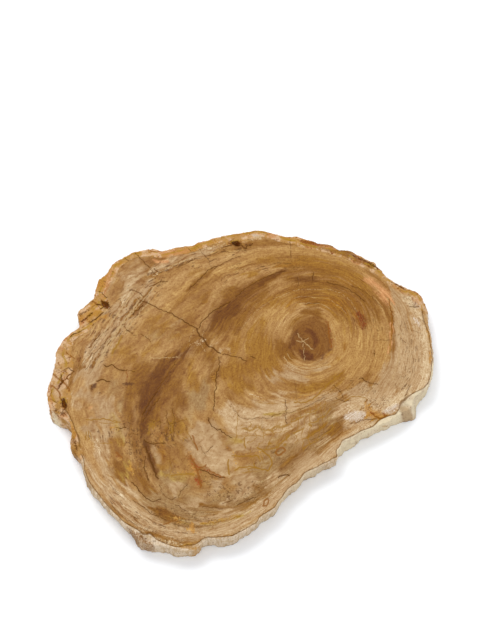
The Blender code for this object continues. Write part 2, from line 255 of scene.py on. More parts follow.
        ([(340, 312), (352, 326)], 4, 0.4), ([(136, 380), (128, 400)], 5, 0.5),
        ([(292, 330), (300, 318)], 6, 0.5), ([(235, 250), (252, 246)], 5, 0.5),
        ([(288, 438), (262, 452)], 4, 0.3), ([(200, 266), (222, 258)], 3, 0.5),
        ([(178, 388), (184, 404)], 9, 0.6), ([(348, 256), (374, 268)], 4, 0.5),
        ([(266, 240), (300, 246)], 3, 0.4),
    ],
    "umber": [
        ([(178, 352), (162, 376), (149, 402), (143, 424)], 2.2, 0.8),
        ([(186, 352), (171, 374), (160, 394)], 1.6, 0.7),
        ([(166, 354), (152, 376), (142, 400)], 1.4, 0.6),
        ([(136, 404), (142, 440), (152, 470)], 1.6, 0.5),
        ([(144, 404), (151, 390), (161, 376)], 12, 0.9),
        ([(222, 318), (234, 304), (244, 294), (254, 287)], 11, 0.55),
        ([(258, 284), (272, 276), (282, 272)], 3.5, 0.8),
        ([(204, 332), (214, 318), (222, 310)], 9, 0.7), ([(145, 430), (148, 448)], 8, 0.5),
        ([(226, 318), (238, 306)], 6, 0.5), ([(146, 446), (152, 462), (158, 477)], 3, 0.9),
        ([(296, 280), (314, 279)], 6, 0.7), ([(150, 404), (142, 428)], 6, 0.7),
        ([(174, 350), (188, 366)], 5, 0.4),
    ],
    "core": [
        ([(298, 330), (310, 326), (322, 329)], 11, 1), ([(326, 334), (324, 350)], 8, 1),
        ([(283, 345), (290, 350)], 8, 0.5), ([(294, 344), (306, 350), (318, 354)], 11, 1),
        ([(312, 312), (316, 320)], 6, 0.6), ([(300, 340), (312, 342)], 11, 0.9),
        ([(326, 340), (320, 326)], 6, 0.8),
    ],
    "coreDark": [
        ([(302, 352), (306, 356), (311, 358)], 6, 1), ([(297, 331), (293, 338), (292, 348)], 3.5, 0.55),
        ([(306, 329), (313, 333), (316, 341), (314, 348)], 3.5, 0.7), ([(330, 349)], 3, 0.7),
        ([(302, 338), (304, 346)], 6, 0.4), ([(320, 357), (326, 356)], 2, 0.6), ([(289, 348)], 2, 0.6),
    ],
    "amber": [
        ([(276, 372), (296, 360)], 7, 0.5), ([(328, 352), (336, 358)], 5, 0.5),
        ([(206, 290), (212, 300)], 5, 0.5), ([(146, 302), (154, 296)], 6, 0.5),
        ([(346, 292), (358, 306), (362, 326)], 9, 0.6), ([(340, 334), (346, 346)], 7, 0.35),
        ([(350, 254), (366, 262)], 4, 0.6),
        ([(276, 268), (320, 272), (352, 284), (366, 304)], 14, 0.45),
        ([(296, 297), (324, 300), (348, 308)], 12, 0.7), ([(166, 424), (160, 446), (164, 460)], 8, 0.7),
        ([(284, 306), (294, 310)], 7, 0.6),
    ],
    "chalk": [
        ([(384, 412), (400, 405)], 6, 0.8),
        ([(422, 396), (426, 385), (430, 366), (432, 348)], 3.5, 0.6),
        ([(410, 302), (420, 308)], 4, 0.8), ([(414, 318), (424, 330)], 4, 0.6),
        ([(347, 417), (356, 416), (364, 414)], 7, 0.9), ([(49, 416), (58, 425)], 5, 1),
        ([(78, 464), (75, 456)], 4, 0.6), ([(252, 234), (258, 236)], 3, 0.8),
    ],
    # Painted light: the front and right walls are made paler where more light falls on them; the stroke on
    # the left rim is a real pale spot.
    "wallPaleAndPaintedLight": [
        ([(256, 518), (282, 498), (304, 477), (326, 459)], 4, 0.4),
        ([(344, 450), (356, 440), (368, 434)], 7, 1),
        ([(330, 455), (340, 446), (350, 437), (372, 424), (390, 418), (408, 408), (418, 396),
          (428, 384), (434, 366)], 7, 1), ([(50, 412), (56, 422), (66, 430)], 5, 1),
    ],
    # Painted shade: the left wall is darkened where less light falls on it.
    "wallTanAndPaintedShade": [
        ([(76, 460), (84, 476), (90, 486)], 5, 0.7), ([(402, 408), (412, 411)], 6, 0.7),
    ],
    "cream": [
        ([(408, 300), (418, 306), (422, 318)], 9, 1),
        ([(424, 326), (428, 350), (426, 376), (420, 392)], 6, 1),
        ([(350, 402), (366, 412), (386, 410)], 7, 0.6), ([(240, 237), (262, 236)], 5, 1),
        ([(386, 404), (400, 398)], 7, 0.8), ([(398, 398), (410, 392)], 6, 0.8),
        ([(410, 386), (402, 404)], 4, 0.7), ([(254, 399), (262, 396)], 2, 0.6),
        ([(140, 532), (154, 540), (178, 544)], 4, 0.6), ([(186, 349), (206, 340)], 3, 0.5),
        ([(94, 442), (100, 456)], 5, 0.6), ([(188, 452), (196, 470)], 3, 0.5),
        ([(206, 538), (232, 535), (256, 524)], 2.5, 0.5),
        ([(292, 486), (318, 466), (336, 453)], 2.5, 0.5), ([(350, 436), (380, 423)], 3, 0.8),
        ([(360, 398), (372, 402)], 4, 0.7), ([(200, 250), (224, 246)], 2.5, 0.6),
        ([(152, 276), (196, 256)], 2, 0.6), ([(282, 366), (300, 371)], 3, 0.4),
    ],
    "ochre": [
        ([(156, 256), (176, 253), (200, 246)], 4, 0.9), ([(286, 238), (310, 243), (335, 248)], 4, 0.8),
        ([(120, 262), (107, 271), (101, 282), (97, 296)], 5, 1),
        ([(80, 318), (92, 312), (102, 318)], 8, 1), ([(126, 254), (140, 250), (150, 256)], 4, 0.7),
        ([(190, 251), (202, 244), (222, 239)], 5, 0.9),
        ([(230, 236), (246, 233), (262, 232)], 3.5, 0.9),
        ([(280, 236), (296, 240), (316, 244)], 3.5, 0.8), ([(402, 288), (413, 293)], 3, 0.9),
        ([(420, 306), (427, 322), (431, 345), (429, 372)], 2.5, 0.9),
        ([(172, 474), (184, 471), (196, 474)], 5, 0.6), ([(130, 468), (135, 474)], 4, 0.7),
        ([(108, 345), (118, 338)], 3, 0.5), ([(182, 545), (198, 547)], 3, 0.9),
        ([(193, 526), (193, 531)], 2.5, 0.9), ([(177, 520)], 4, 0.8),
        ([(368, 415), (378, 418), (388, 420)], 5.5, 1), ([(365, 405), (368, 410)], 4, 0.8),
        ([(298, 424), (330, 411)], 4, 0.3), ([(110, 424), (116, 432)], 5, 0.7),
        ([(72, 422), (74, 436)], 3, 0.8), ([(240, 456), (258, 452)], 4, 0.5),
        ([(229, 448), (229, 470)], 3, 0.6), ([(200, 524), (236, 517)], 3, 0.7),
        ([(118, 360), (112, 350)], 3, 0.5), ([(214, 372), (213, 392)], 3, 0.5),
        ([(290, 402), (320, 392)], 3, 0.6), ([(150, 386), (160, 372)], 2, 0.3),
        ([(128, 472), (134, 462)], 3, 0.6), ([(276, 376), (300, 383)], 3, 0.4),
    ],
    "orange": [
        ([(150, 262), (158, 264), (167, 263)], 3, 0.8), ([(158, 254), (172, 253), (190, 250)], 5, 1),
        ([(110, 272), (104, 284), (103, 296)], 4, 0.8), ([(150, 252), (160, 250)], 3, 0.6),
        ([(366, 278), (381, 288), (390, 300)], 6, 0.6),
        ([(392, 318), (391.5, 335), (389, 352)], 2, 0.8), ([(266, 233), (276, 238)], 3, 0.8),
        ([(308, 243), (322, 245), (334, 248)], 3, 0.9), ([(52, 356), (58, 342), (70, 334)], 4, 0.8),
        ([(50, 392), (52, 404)], 3, 0.8), ([(58, 378), (66, 376)], 4, 0.7), ([(91, 409)], 3.5, 0.7),
        ([(98, 303), (94, 310)], 4, 0.8), ([(200, 242), (214, 239)], 3, 0.6),
        ([(46, 378), (50, 386)], 3, 0.7), ([(242, 236), (250, 235)], 2.5, 0.8),
        ([(380, 294), (386, 302)], 4, 0.5),
    ],
    "olive": [
        ([(250, 229), (262, 231), (274, 234)], 3, 0.8), ([(122, 336), (112, 353)], 3, 0.6),
        ([(112, 414), (121, 440), (118, 452)], 5, 0.6), ([(429, 326), (432, 350)], 2, 0.6),
        ([(228, 446), (246, 440)], 4, 0.5), ([(268, 415), (292, 412)], 3, 0.5),
        ([(200, 525), (246, 514)], 3, 0.7), ([(160, 478), (192, 472)], 5, 0.6),
        ([(130, 466), (124, 478)], 4, 0.6), ([(100, 270), (96, 282)], 2.5, 0.5),
        ([(398, 284), (412, 296)], 3, 0.6), ([(176, 518), (186, 524)], 4, 0.5),
    ],
    "nugget": [
        ([(368, 413), (378, 416), (388, 416)], 6, 0.8), ([(365, 403), (370, 410)], 4, 0.6),
        ([(192, 523), (193, 532)], 3, 0.9), ([(175, 517), (181, 522)], 4, 0.6),
        ([(116, 454), (121, 459)], 3.5, 0.6), ([(356, 314), (362, 327)], 5, 0.5),
        ([(189, 452), (192, 464), (199, 476)], 5, 0.6), ([(118, 412), (120, 416)], 3, 0.5),
    ],
    "brick": [
        ([(189, 457), (195, 464), (200, 473)], 3.5, 1), ([(197, 476), (200, 486)], 4, 1),
        ([(202, 468), (214, 474), (222, 478)], 2.5, 0.7), ([(56, 388), (64, 378)], 2.5, 0.7),
        ([(330, 346)], 2, 0.6),
    ],
    "rust": [
        ([(358, 313), (362, 320), (363, 328)], 4.5, 1), ([(352, 318), (358, 322)], 3, 0.5),
        ([(326, 321), (331, 334), (332, 348)], 1.6, 0.7), ([(58, 388), (64, 378)], 2.4, 0.9),
        ([(63, 400), (65, 408)], 3, 1), ([(231, 244), (240, 242)], 4, 1),
        ([(103, 302), (107, 306)], 3, 0.9), ([(369, 411), (374, 415)], 2.0, 0.8),
        ([(382, 413), (388, 416)], 1.6, 0.8), ([(377, 418)], 1.6, 0.8),
        ([(300, 240), (320, 243)], 2.4, 0.8), ([(352, 255), (362, 260)], 2, 0.8),
        ([(118, 456)], 2.5, 1), ([(132, 472)], 1.6, 0.9), ([(119, 414)], 1.6, 0.8),
        ([(219, 478)], 3, 0.7), ([(205, 466), (212, 472)], 2, 0.6),
        ([(300, 242), (328, 246)], 1.6, 0.7), ([(128, 376), (126, 384)], 1.6, 0.6),
        ([(48, 392), (54, 382)], 1.6, 0.7), ([(113, 502), (116, 504)], 1.6, 0.5),
        ([(161, 533)], 1.6, 0.5), ([(421, 308), (424, 314)], 2, 0.7), ([(76, 355), (80, 366)], 2, 0.6),
    ],
    "hollow": [
        ([(103, 302), (110, 306)], 4, 1), ([(64, 400), (66, 408)], 4, 1),
        ([(229, 243), (238, 243)], 4, 1),
    ],
    # Dark pits and gaps of the rough rim; in the gaps between the nub's ledges this dark is painted shade.
    "darkPitsAndGapShade": [
        ([(54, 408), (64, 413)], 4, 0.7), ([(75, 440), (77, 452)], 2, 0.7),
        ([(79, 314), (90, 309)], 1.3, 0.9), ([(80, 321), (90, 315)], 1.2, 0.9),
        ([(92, 326), (102, 318)], 1.3, 0.8), ([(352, 254), (366, 260), (378, 268)], 1.8, 0.8),
        ([(395, 283), (405, 288)], 1.8, 0.8), ([(404, 408), (414, 412)], 2, 0.7),
        ([(140, 536), (156, 542)], 1.6, 0.5), ([(91, 389), (96, 384)], 2.8, 1),
        ([(123, 384), (134, 384)], 2.4, 0.9), ([(98, 393), (104, 392)], 1.6, 0.7),
        ([(72, 337)], 1.4, 0.9), ([(64, 352)], 1.2, 0.6), ([(77, 368)], 1.4, 0.8),
        ([(245, 245), (252, 244)], 1.6, 0.8),
    ],
}

# These marks are small, the walls' painted light and shade among them, so they stay where they are, while
# the others fray along the rings.
smallMarks = ("brick", "rust", "hollow", "darkPitsAndGapShade", "chalk", "nugget", "wallPaleAndPaintedLight", "wallTanAndPaintedShade")

# Where the bark is warm in colour; elsewhere it is pale.
warmBark = [
    ([(68, 350), (64, 376), (62, 400)], 12, 1), ([(92, 312), (98, 306)], 10, 1),
    ([(76, 452), (52, 414), (48, 396), (53, 360), (62, 338), (84, 326), (82, 312), (98, 296),
      (104, 272), (126, 254), (160, 250), (205, 242), (255, 230), (300, 238), (345, 250), (380, 268),
      (412, 292), (422, 306)], 11, 1),
]

# How strongly the rings stand out from each other.
banding = [
    ([(210, 332), (230, 308), (256, 288)], 15, 0.9), ([(172, 360), (152, 392), (144, 425)], 12, 0.7),
    ([(282, 318), (296, 298), (318, 290), (342, 298), (356, 315), (360, 340)], 12, 1),
    ([(290, 274), (330, 274), (362, 286), (385, 312)], 8, 0.8), ([(160, 262), (215, 248)], 9, 1),
    ([(148, 282), (118, 320), (92, 362)], 14, 1), ([(285, 362), (300, 370), (325, 366)], 7, 1),
    ([(94, 470), (130, 508), (180, 526), (235, 514), (285, 474), (340, 430)], 12, 0.3),
    ([(180, 360), (170, 400)], 18, 0.5), ([(220, 275), (260, 262)], 8, 0.5),
    ([(310, 440), (340, 420)], 12, 0.7), ([(150, 430), (160, 470)], 10, 0.4),
]

# Fine lines: places, half width in millimetres, strength.
lines = {
    "crack": [
        ([(132, 500), (142, 506), (152, 514), (166, 520)], 0.7, 0.7),
        ([(112, 506), (124, 518), (138, 526)], 0.7, 0.6),
        ([(166, 412), (168, 424), (166, 438)], 0.6, 0.6),
        ([(172, 408), (175, 422), (173, 436)], 0.5, 0.6), ([(160, 418), (161, 430)], 0.5, 0.5),
        ([(150, 420), (170, 424), (186, 420)], 0.5, 0.5),
        ([(146, 456), (144, 468), (149, 480)], 0.7, 0.8), ([(200, 446), (206, 456)], 0.5, 0.5),
        ([(238, 505), (247, 500), (256, 497)], 0.8, 0.7), ([(222, 504), (232, 500)], 0.6, 0.6),
        ([(350, 424), (364, 420), (380, 418)], 0.7, 0.7),
        # The next three lines also paint the shade in the gaps between the nub's ledges.
        ([(78, 313), (86, 310), (94, 305), (100, 304)], 1.3, 1),
        ([(79, 320), (86, 317), (92, 313)], 1.2, 1),
        ([(82, 327), (90, 322), (97, 318), (103, 312)], 1.2, 0.9), ([(88, 301), (95, 300)], 0.9, 0.8),
        ([(54, 366), (60, 372), (62, 380), (58, 388)], 1.0, 0.9),
        ([(60, 372), (68, 368), (74, 372)], 0.9, 0.8), ([(50, 398), (56, 402), (62, 412)], 0.9, 0.8),
        ([(70, 336), (76, 333), (84, 330)], 1.0, 0.8), ([(96, 290), (102, 292), (106, 298)], 0.8, 0.8),
        ([(108, 268), (113, 272)], 0.8, 0.8), ([(122, 256), (128, 261)], 0.7, 0.7),
        ([(100, 279), (106, 282)], 0.8, 0.7), ([(160, 248), (163, 254)], 0.7, 0.7),
        ([(186, 245), (190, 251)], 0.7, 0.7), ([(330, 246), (345, 250), (356, 256)], 0.9, 0.8),
        ([(364, 260), (374, 266), (384, 272)], 1.0, 0.8),
        ([(392, 282), (400, 286), (408, 290)], 1.0, 0.8), ([(302, 240), (314, 243)], 0.8, 0.7),
        ([(145, 303), (150, 304), (160, 309), (172, 314), (182, 320), (190, 325), (198, 329)], 0.8, 1),
        ([(199, 328), (201, 323), (206, 318), (212, 312), (220, 307), (230, 302)], 0.8, 1),
        ([(197, 329), (199, 334), (203, 338), (207, 345), (213, 348), (220, 353)], 1.1, 1),
        ([(222, 354), (230, 355), (240, 358), (246, 361)], 0.8, 0.8),
        ([(250, 356), (255, 358)], 0.8, 0.7),
        ([(219, 357), (220, 365), (217, 373), (216, 380), (216.5, 388), (214, 396), (215, 404),
          (213, 410)], 0.7, 0.9),
        ([(208, 418), (211, 425), (215, 429), (220, 430), (226, 435), (232, 438)], 0.8, 0.9),
        ([(230, 405), (235, 411), (240, 417), (246, 419), (270, 418), (275, 415), (285, 413),
          (293, 412), (310, 405), (325, 397)], 0.6, 0.6),
        ([(285, 400), (287, 410), (285, 415), (287, 424)], 0.6, 0.8),
        ([(296, 383), (296, 400)], 0.5, 0.5), ([(334, 386), (340, 391), (343, 396)], 0.7, 0.7),
        ([(336, 398), (345, 402), (350, 400)], 0.7, 0.7),
        ([(360, 378), (370, 383), (377, 384)], 0.8, 0.8), ([(375, 340), (392, 340)], 0.7, 0.6),
        ([(374, 350), (374, 356)], 0.7, 0.7),
        ([(134, 252), (142, 260), (149, 267), (156, 275)], 0.6, 0.8),
        ([(195, 244), (200, 250), (208, 260), (212, 268)], 0.5, 0.6),
        ([(290, 238), (291, 258)], 0.5, 0.7), ([(303, 304), (320, 303)], 0.6, 0.7),
        ([(313, 272), (313, 280)], 0.6, 0.8), ([(298, 278), (298, 288)], 0.6, 0.6),
        ([(104, 365), (108, 367), (112, 365), (118, 369), (126, 371)], 1.0, 0.9),
        ([(127, 370), (135, 372)], 0.6, 0.6),
        ([(145, 440), (148, 443), (153, 444), (165, 443)], 0.8, 1),
        ([(120, 428), (125, 428)], 0.9, 0.8), ([(116, 427), (120, 429), (124, 428)], 0.7, 0.7),
        ([(130, 434), (140, 434)], 0.6, 0.6),
        ([(146, 448), (149, 457), (153, 466), (157, 478)], 1.2, 1),
        ([(132, 482), (136, 486), (139, 491), (144, 496), (150, 501), (156, 501),
          (160, 499)], 0.9, 0.8),
        ([(160, 485), (161, 491), (166, 497), (172, 499), (178, 497), (181, 491),
          (187, 485)], 0.8, 0.6), ([(205, 454), (209, 450), (213, 446)], 0.6, 0.7),
        ([(200, 470), (207, 472), (214, 476), (224, 478)], 0.9, 0.8),
        ([(310, 440), (320, 436), (330, 430)], 0.7, 0.5),
        ([(337, 420), (341, 426), (350, 429)], 0.6, 0.5),
        ([(279, 477), (284, 475), (289, 475)], 1.2, 0.8),
        ([(97, 381), (103, 379.5), (110, 382)], 1.1, 0.9),
        ([(60, 384), (65, 379), (70, 374)], 0.8, 0.8), ([(56, 371), (62, 370), (66, 372)], 0.7, 0.6),
        ([(410, 306), (413, 307.5), (418, 306)], 0.7, 0.9),
        ([(410, 385), (406, 395), (403, 405)], 0.6, 0.7),
        ([(224, 247), (230, 245), (236, 243), (245, 248), (252, 244)], 1.0, 0.9),
        ([(415, 302), (414, 307)], 0.6, 0.7), ([(101, 309), (105, 305), (109, 302)], 1.2, 1),
        ([(400, 411), (408, 413), (413, 412)], 0.9, 0.8),
        ([(157, 392), (150, 402), (143, 415)], 0.9, 0.8),
        ([(160, 398), (151, 409), (143, 421)], 0.8, 0.6),
        ([(178, 358), (168, 374), (158, 390)], 0.8, 0.5), ([(392, 340), (391, 352)], 0.6, 0.5),
        ([(328, 283), (338, 285), (347, 288.5), (356, 294), (365, 302)], 0.8, 0.8),
        ([(352, 286), (362, 290), (372, 297), (382, 307)], 0.7, 0.6),
        ([(385, 300), (392, 312), (394, 325)], 0.7, 0.6),
        ([(236, 297), (246, 288), (258, 281), (270, 275), (285, 271)], 0.9, 0.7),
        ([(288, 268), (306, 266)], 0.7, 0.5), ([(153, 285), (160, 282), (168, 281)], 0.8, 0.8),
        ([(130, 290), (136, 291), (143, 296)], 0.8, 0.8),
        ([(133, 314), (138, 310), (143, 305)], 0.9, 0.9),
        ([(124, 326), (128, 330), (133, 333)], 0.7, 0.7),
        ([(140, 334), (145, 336), (150, 341)], 0.6, 0.7), ([(126, 330), (136, 336)], 0.5, 0.6),
        ([(138, 298), (144, 302)], 0.8, 0.7), ([(154, 269), (160, 273)], 0.8, 0.9),
        ([(150, 286), (156, 284)], 0.8, 0.8),
        ([(190, 288), (198, 281), (208, 270), (216, 266)], 1.0, 0.7),
        ([(176, 268), (186, 264), (196, 258)], 0.7, 0.6),
        ([(215, 268), (224, 263), (232, 259), (240, 256)], 0.7, 0.7),
        ([(222, 250), (232, 253), (240, 252)], 0.6, 0.6),
        ([(86, 370), (96, 352), (108, 338)], 0.6, 0.6), ([(90, 374), (102, 350), (112, 336)], 0.5, 0.5),
        ([(88, 356), (94, 346), (104, 332)], 0.6, 0.6), ([(82, 366), (90, 350)], 0.5, 0.5),
        ([(94, 341), (100, 334)], 0.7, 0.7), ([(286, 352), (290, 345), (290, 338)], 0.6, 0.5),
        ([(76, 350), (80, 358), (78, 366)], 0.7, 0.5), ([(70, 374), (78, 370), (82, 366)], 0.6, 0.5),
        ([(196, 448), (190, 436)], 0.5, 0.5), ([(170, 424), (172, 436)], 0.5, 0.6),
        ([(246, 420), (247, 432)], 0.5, 0.4), ([(262, 418), (262, 432)], 0.5, 0.4),
        ([(272, 416), (274, 428)], 0.5, 0.4), ([(300, 410), (302, 424)], 0.5, 0.4),
        ([(394, 336), (402, 334)], 0.5, 0.6), ([(401, 338), (405, 343)], 0.6, 0.7),
        ([(396, 384), (398, 392)], 0.5, 0.5), ([(418, 318), (424, 322)], 0.5, 0.6),
        ([(412, 330), (422, 334)], 0.4, 0.5), ([(290, 462), (302, 452), (318, 446)], 0.5, 0.4),
        ([(256, 500), (270, 498)], 0.6, 0.5), ([(203, 507), (222, 509)], 0.8, 0.6),
        ([(176, 505), (188, 512)], 0.8, 0.6), ([(84, 470), (92, 488), (104, 503)], 0.5, 0.4),
    ],
    "rustLine": [
        ([(52, 372), (58, 378), (66, 384), (70, 392)], 1.3, 1),
        ([(50, 384), (58, 390), (62, 400)], 1.3, 0.9), ([(66, 352), (74, 358)], 1.2, 0.7),
        ([(58, 362), (64, 374)], 1.1, 0.8),
        ([(190, 456), (196, 466), (199, 478), (201, 487)], 1.5, 0.9),
        ([(196, 470), (206, 465)], 1.2, 0.8), ([(92, 300), (100, 306), (108, 300)], 1.4, 0.9),
        ([(150, 252), (162, 250)], 1.1, 0.7), ([(88, 334), (78, 344)], 1.1, 0.6),
        ([(116, 452), (121, 458)], 1.8, 0.9), ([(126, 370), (128, 378)], 1.0, 0.6),
        ([(164, 524), (176, 520)], 1.2, 0.7),
        ([(276, 453), (278, 449), (283, 447.5), (285, 450), (282, 454), (277, 455),
          (276, 453)], 1.4, 1),
        ([(263.5, 506), (264, 501), (267, 499), (268.5, 502), (266.5, 506), (263.5, 506)], 1.2, 0.9),
        ([(193, 435), (194, 442), (198, 450)], 1.2, 0.9), ([(60, 384), (65, 379), (70, 374)], 1.2, 1),
        ([(328, 322), (329, 336), (331, 348)], 1.0, 0.9),
        ([(389, 300), (392, 316), (392, 336)], 1.2, 0.8),
        ([(353, 313), (358, 318), (360, 328)], 1.0, 0.8), ([(64, 398), (63, 408)], 1.2, 0.9),
        ([(101, 300), (108, 303)], 1.2, 0.9), ([(50, 380), (52, 396)], 1.0, 0.6),
        ([(372, 414), (380, 418), (386, 415)], 1.2, 0.9),
        ([(208, 470), (218, 475), (225, 478)], 1.2, 0.8),
    ],
    "vein": [
        ([(122, 336), (118, 344), (112, 353)], 1.6, 0.9),
        ([(86, 420), (104, 419), (120, 422)], 1.1, 0.8), ([(100, 423), (116, 423)], 1.0, 0.6),
        ([(258, 448), (264, 452), (271, 458), (272, 464), (268, 470), (262, 470),
          (256, 467)], 1.1, 0.9), ([(235, 470), (240, 467), (255, 467)], 1.1, 0.9),
        ([(233, 456), (258, 456), (260, 461)], 1.1, 0.9), ([(228, 460), (229, 475)], 1.3, 0.9),
        ([(244, 438), (245, 448)], 1.0, 0.9),
        ([(295, 402), (305, 402), (312, 400), (325, 388), (335, 377), (342, 373)], 1.1, 0.9),
        ([(238, 410), (236, 440)], 1.0, 0.5), ([(250, 450), (250, 458)], 1.0, 0.6),
        ([(186, 430), (198, 450)], 1.1, 0.5), ([(171, 476), (182, 474), (194, 474)], 2.2, 0.6),
        ([(100, 444), (112, 443)], 1.0, 0.6), ([(392, 318), (391, 340), (390, 352)], 1.4, 0.6),
        ([(86, 432), (86, 440)], 0.8, 0.8), ([(88.5, 432), (88.5, 440)], 0.8, 0.8),
        ([(91, 433), (91, 439)], 0.8, 0.8), ([(94, 421), (80, 418)], 0.8, 0.5),
        ([(255, 402), (272, 404), (290, 402)], 0.8, 0.5),
        ([(344, 402), (352, 396), (366, 398)], 1.1, 0.6),
        ([(165, 478), (172, 470), (170, 460)], 1.0, 0.5),
        ([(204, 524), (224, 521), (240, 516)], 1.0, 0.6), ([(374, 384), (368, 394)], 1.0, 0.5),
        ([(222, 430), (240, 436), (262, 436), (290, 430)], 0.8, 0.5),
    ],
    "pale": [
        ([(294, 298), (304, 296), (316, 298), (329, 299), (339, 306), (347, 314)], 0.9, 0.6),
        ([(293, 291), (304, 289), (316, 289.5), (328, 289), (342, 293.5), (351, 301),
          (357, 312)], 0.9, 0.6), ([(296, 304), (308, 303), (322, 304), (330, 309)], 0.8, 0.8),
        ([(300, 309), (312, 308)], 0.7, 0.6), ([(297, 334), (303, 341), (312, 349)], 1.0, 1),
        ([(303, 345), (304, 352), (305, 360)], 0.7, 0.8),
        ([(297, 341), (302, 342), (308, 339)], 0.8, 0.9),
        ([(284, 357), (290, 364), (300, 367), (312, 368), (322, 366)], 0.9, 1),
        ([(287, 354), (292, 360), (300, 363)], 0.7, 0.7),
        ([(286, 362), (292, 369), (304, 373)], 0.8, 0.7),
        ([(330, 322), (335, 334), (336, 348)], 0.8, 0.6),
        ([(240, 330), (255, 312), (272, 300), (290, 292)], 0.8, 0.5),
        ([(196, 252), (212, 247), (226, 244)], 1.2, 0.6),
        ([(204, 332), (200, 343), (206, 352)], 0.9, 0.6),
        ([(150, 358), (160, 358), (178, 357)], 1.0, 0.8),
        ([(398, 320), (401, 340), (398, 362), (392, 380)], 1.2, 0.7),
        ([(200, 531), (225, 526), (250, 514)], 1.2, 0.7),
        ([(144, 294), (126, 318), (108, 342), (96, 366)], 1.6, 0.9),
        ([(154, 288), (134, 310), (116, 334), (100, 362)], 1.4, 0.8),
        ([(150, 300), (134, 320), (116, 344)], 1.3, 0.8),
        ([(136, 290), (116, 316), (100, 338)], 1.4, 0.9),
        ([(152, 276), (172, 266), (190, 258)], 1.0, 0.8), ([(164, 270), (184, 260)], 0.8, 0.7),
        ([(188, 342), (194, 330)], 0.8, 0.6), ([(96, 430), (100, 462), (112, 486)], 1.4, 0.3),
        ([(324, 452), (352, 434)], 1.0, 0.5), ([(355, 404), (362, 409)], 1.2, 0.8),
        ([(206, 500), (226, 492)], 0.8, 0.4), ([(345, 276), (362, 288)], 0.8, 0.4),
    ],
}

# Net of thin veins in the pale wood between the heart's rings.
net = [
    ([(245, 430), (270, 438), (298, 430), (322, 410)], 13, 1), ([(300, 445), (330, 425)], 9, 0.6),
    ([(145, 432), (165, 428), (185, 440)], 10, 0.6), ([(250, 470), (270, 452)], 9, 0.5),
]

# Where short dark dashes lie along the rings, and where the wood is stippled with dark specks.
dashes = [
    ([(160, 270), (140, 295), (115, 325), (90, 360)], 16, 1),
    ([(180, 264), (215, 256), (240, 250)], 9, 1), ([(165, 440), (185, 430)], 12, 0.6),
    ([(250, 262), (225, 280)], 8, 0.6), ([(292, 460), (262, 450)], 9, 0.5),
    ([(340, 310), (380, 330)], 12, 0.5), ([(405, 320), (412, 350), (405, 385)], 10, 0.7),
    ([(260, 270), (300, 262)], 8, 0.7), ([(90, 430), (118, 430)], 8, 0.6),
    ([(320, 400), (345, 390)], 8, 0.7), ([(104, 480), (120, 500)], 7, 0.5),
    ([(64, 355), (60, 400)], 9, 0.6), ([(135, 430), (140, 460)], 10, 0.7),
    ([(110, 500), (150, 524), (200, 532)], 6, 0.7),
]
stipple = [
    ([(150, 430), (138, 450), (148, 470)], 12, 1), ([(124, 420), (134, 440)], 9, 0.8),
    ([(150, 508), (180, 518), (214, 520)], 9, 1), ([(205, 495), (232, 492), (262, 484)], 9, 0.9),
    ([(140, 532), (175, 542)], 7, 1), ([(295, 330), (310, 350)], 7, 0.7),
    ([(350, 380), (372, 392)], 7, 0.7), ([(370, 404), (386, 402)], 7, 0.9),
    ([(172, 428), (160, 446)], 9, 0.7), ([(150, 404), (142, 420)], 8, 0.6),
    ([(196, 476), (222, 484)], 8, 0.6), ([(242, 500), (262, 494)], 6, 0.7),
    ([(104, 300), (120, 290)], 6, 0.4), ([(352, 254), (384, 272)], 5, 0.7),
    ([(404, 296), (416, 306)], 5, 0.6),
]


# One field on the face from strokes: each falls off smoothly across its half width and thins at its ends.
def strokeField(plan, strokes):
    field = np.zeros(len(plan))
    for places, width, strength in strokes:
        path = toSlab(places)
        near = placesNear(plan, path, 2.4 * width * mm)
        away, share = lineDistance(plan[near], path)
        taper = 1 - 0.4 * (2 * share - 1) ** 4 if len(places) > 1 else 1
        field[near] = 1 - (1 - field[near]) * (1 - strength * np.exp(-((away / (width * mm * taper)) ** 2)))
    return field


def placesNear(plan, path, reach):
    return np.flatnonzero(((plan > path.min(0) - reach) & (plan < path.max(0) + reach)).all(axis=1))


# How far each place is from a broken line, and how far along the line the nearest point lies.
def lineDistance(plan, path):
    if len(path) == 1:
        return np.linalg.norm(plan - path[0], axis=1), np.full(len(plan), 0.5)
    nearest = np.full(len(plan), np.inf)
    along = np.zeros(len(plan))
    lengths = np.linalg.norm(np.diff(path, axis=0), axis=1)
    starts = np.concatenate(([0], np.cumsum(lengths)))
    for a, b, length, start in zip(path, path[1:], lengths, starts):
        run = b - a
        share = np.clip(((plan - a) @ run) / length ** 2, 0, 1)
        away = np.linalg.norm(plan - (a + share[:, None] * run), axis=1)
        closer = away < nearest
        nearest = np.where(closer, away, nearest)
        along = np.where(closer, (start + share * length) / starts[-1], along)
    return nearest, along


def noiseAt(places):
    return np.array([noise.noise(Vector(place)) for place in places])


# Noise for places that are already counted in sizes of its lumps.
def stray(places, seed):
    return noiseAt(places + np.array((7.1, -3.3, 1)) * seed)


# Noise on points in metres, with the size of its lumps along the slab and up it.
def softNoise(points, along, up, seed):
    return noiseAt(points / (along, along, up) + np.array((1, -1, 2.3)) * seed)


# A crack's own course: the read places joined up, and made jagged between them.
def linePath(places):
    path = evenPath(toSlab(places), slab["lineStep"])
    spots = np.column_stack((path / slab["jagSize"], np.zeros(len(path))))
    return path + np.stack((stray(spots, 11), stray(spots, 12)), axis=1) * slab["jag"]


def lineField(plan, strokes):
    field = np.zeros(len(plan))
    for places, width, strength in strokes:
        path = linePath(places)
        near = placesNear(plan, path, width * mm)
        closeness = 1 - lineDistance(plan[near], path)[0] / (width * mm)
        field[near] = np.maximum(field[near], np.clip(closeness, 0, 1) * strength)
    return field


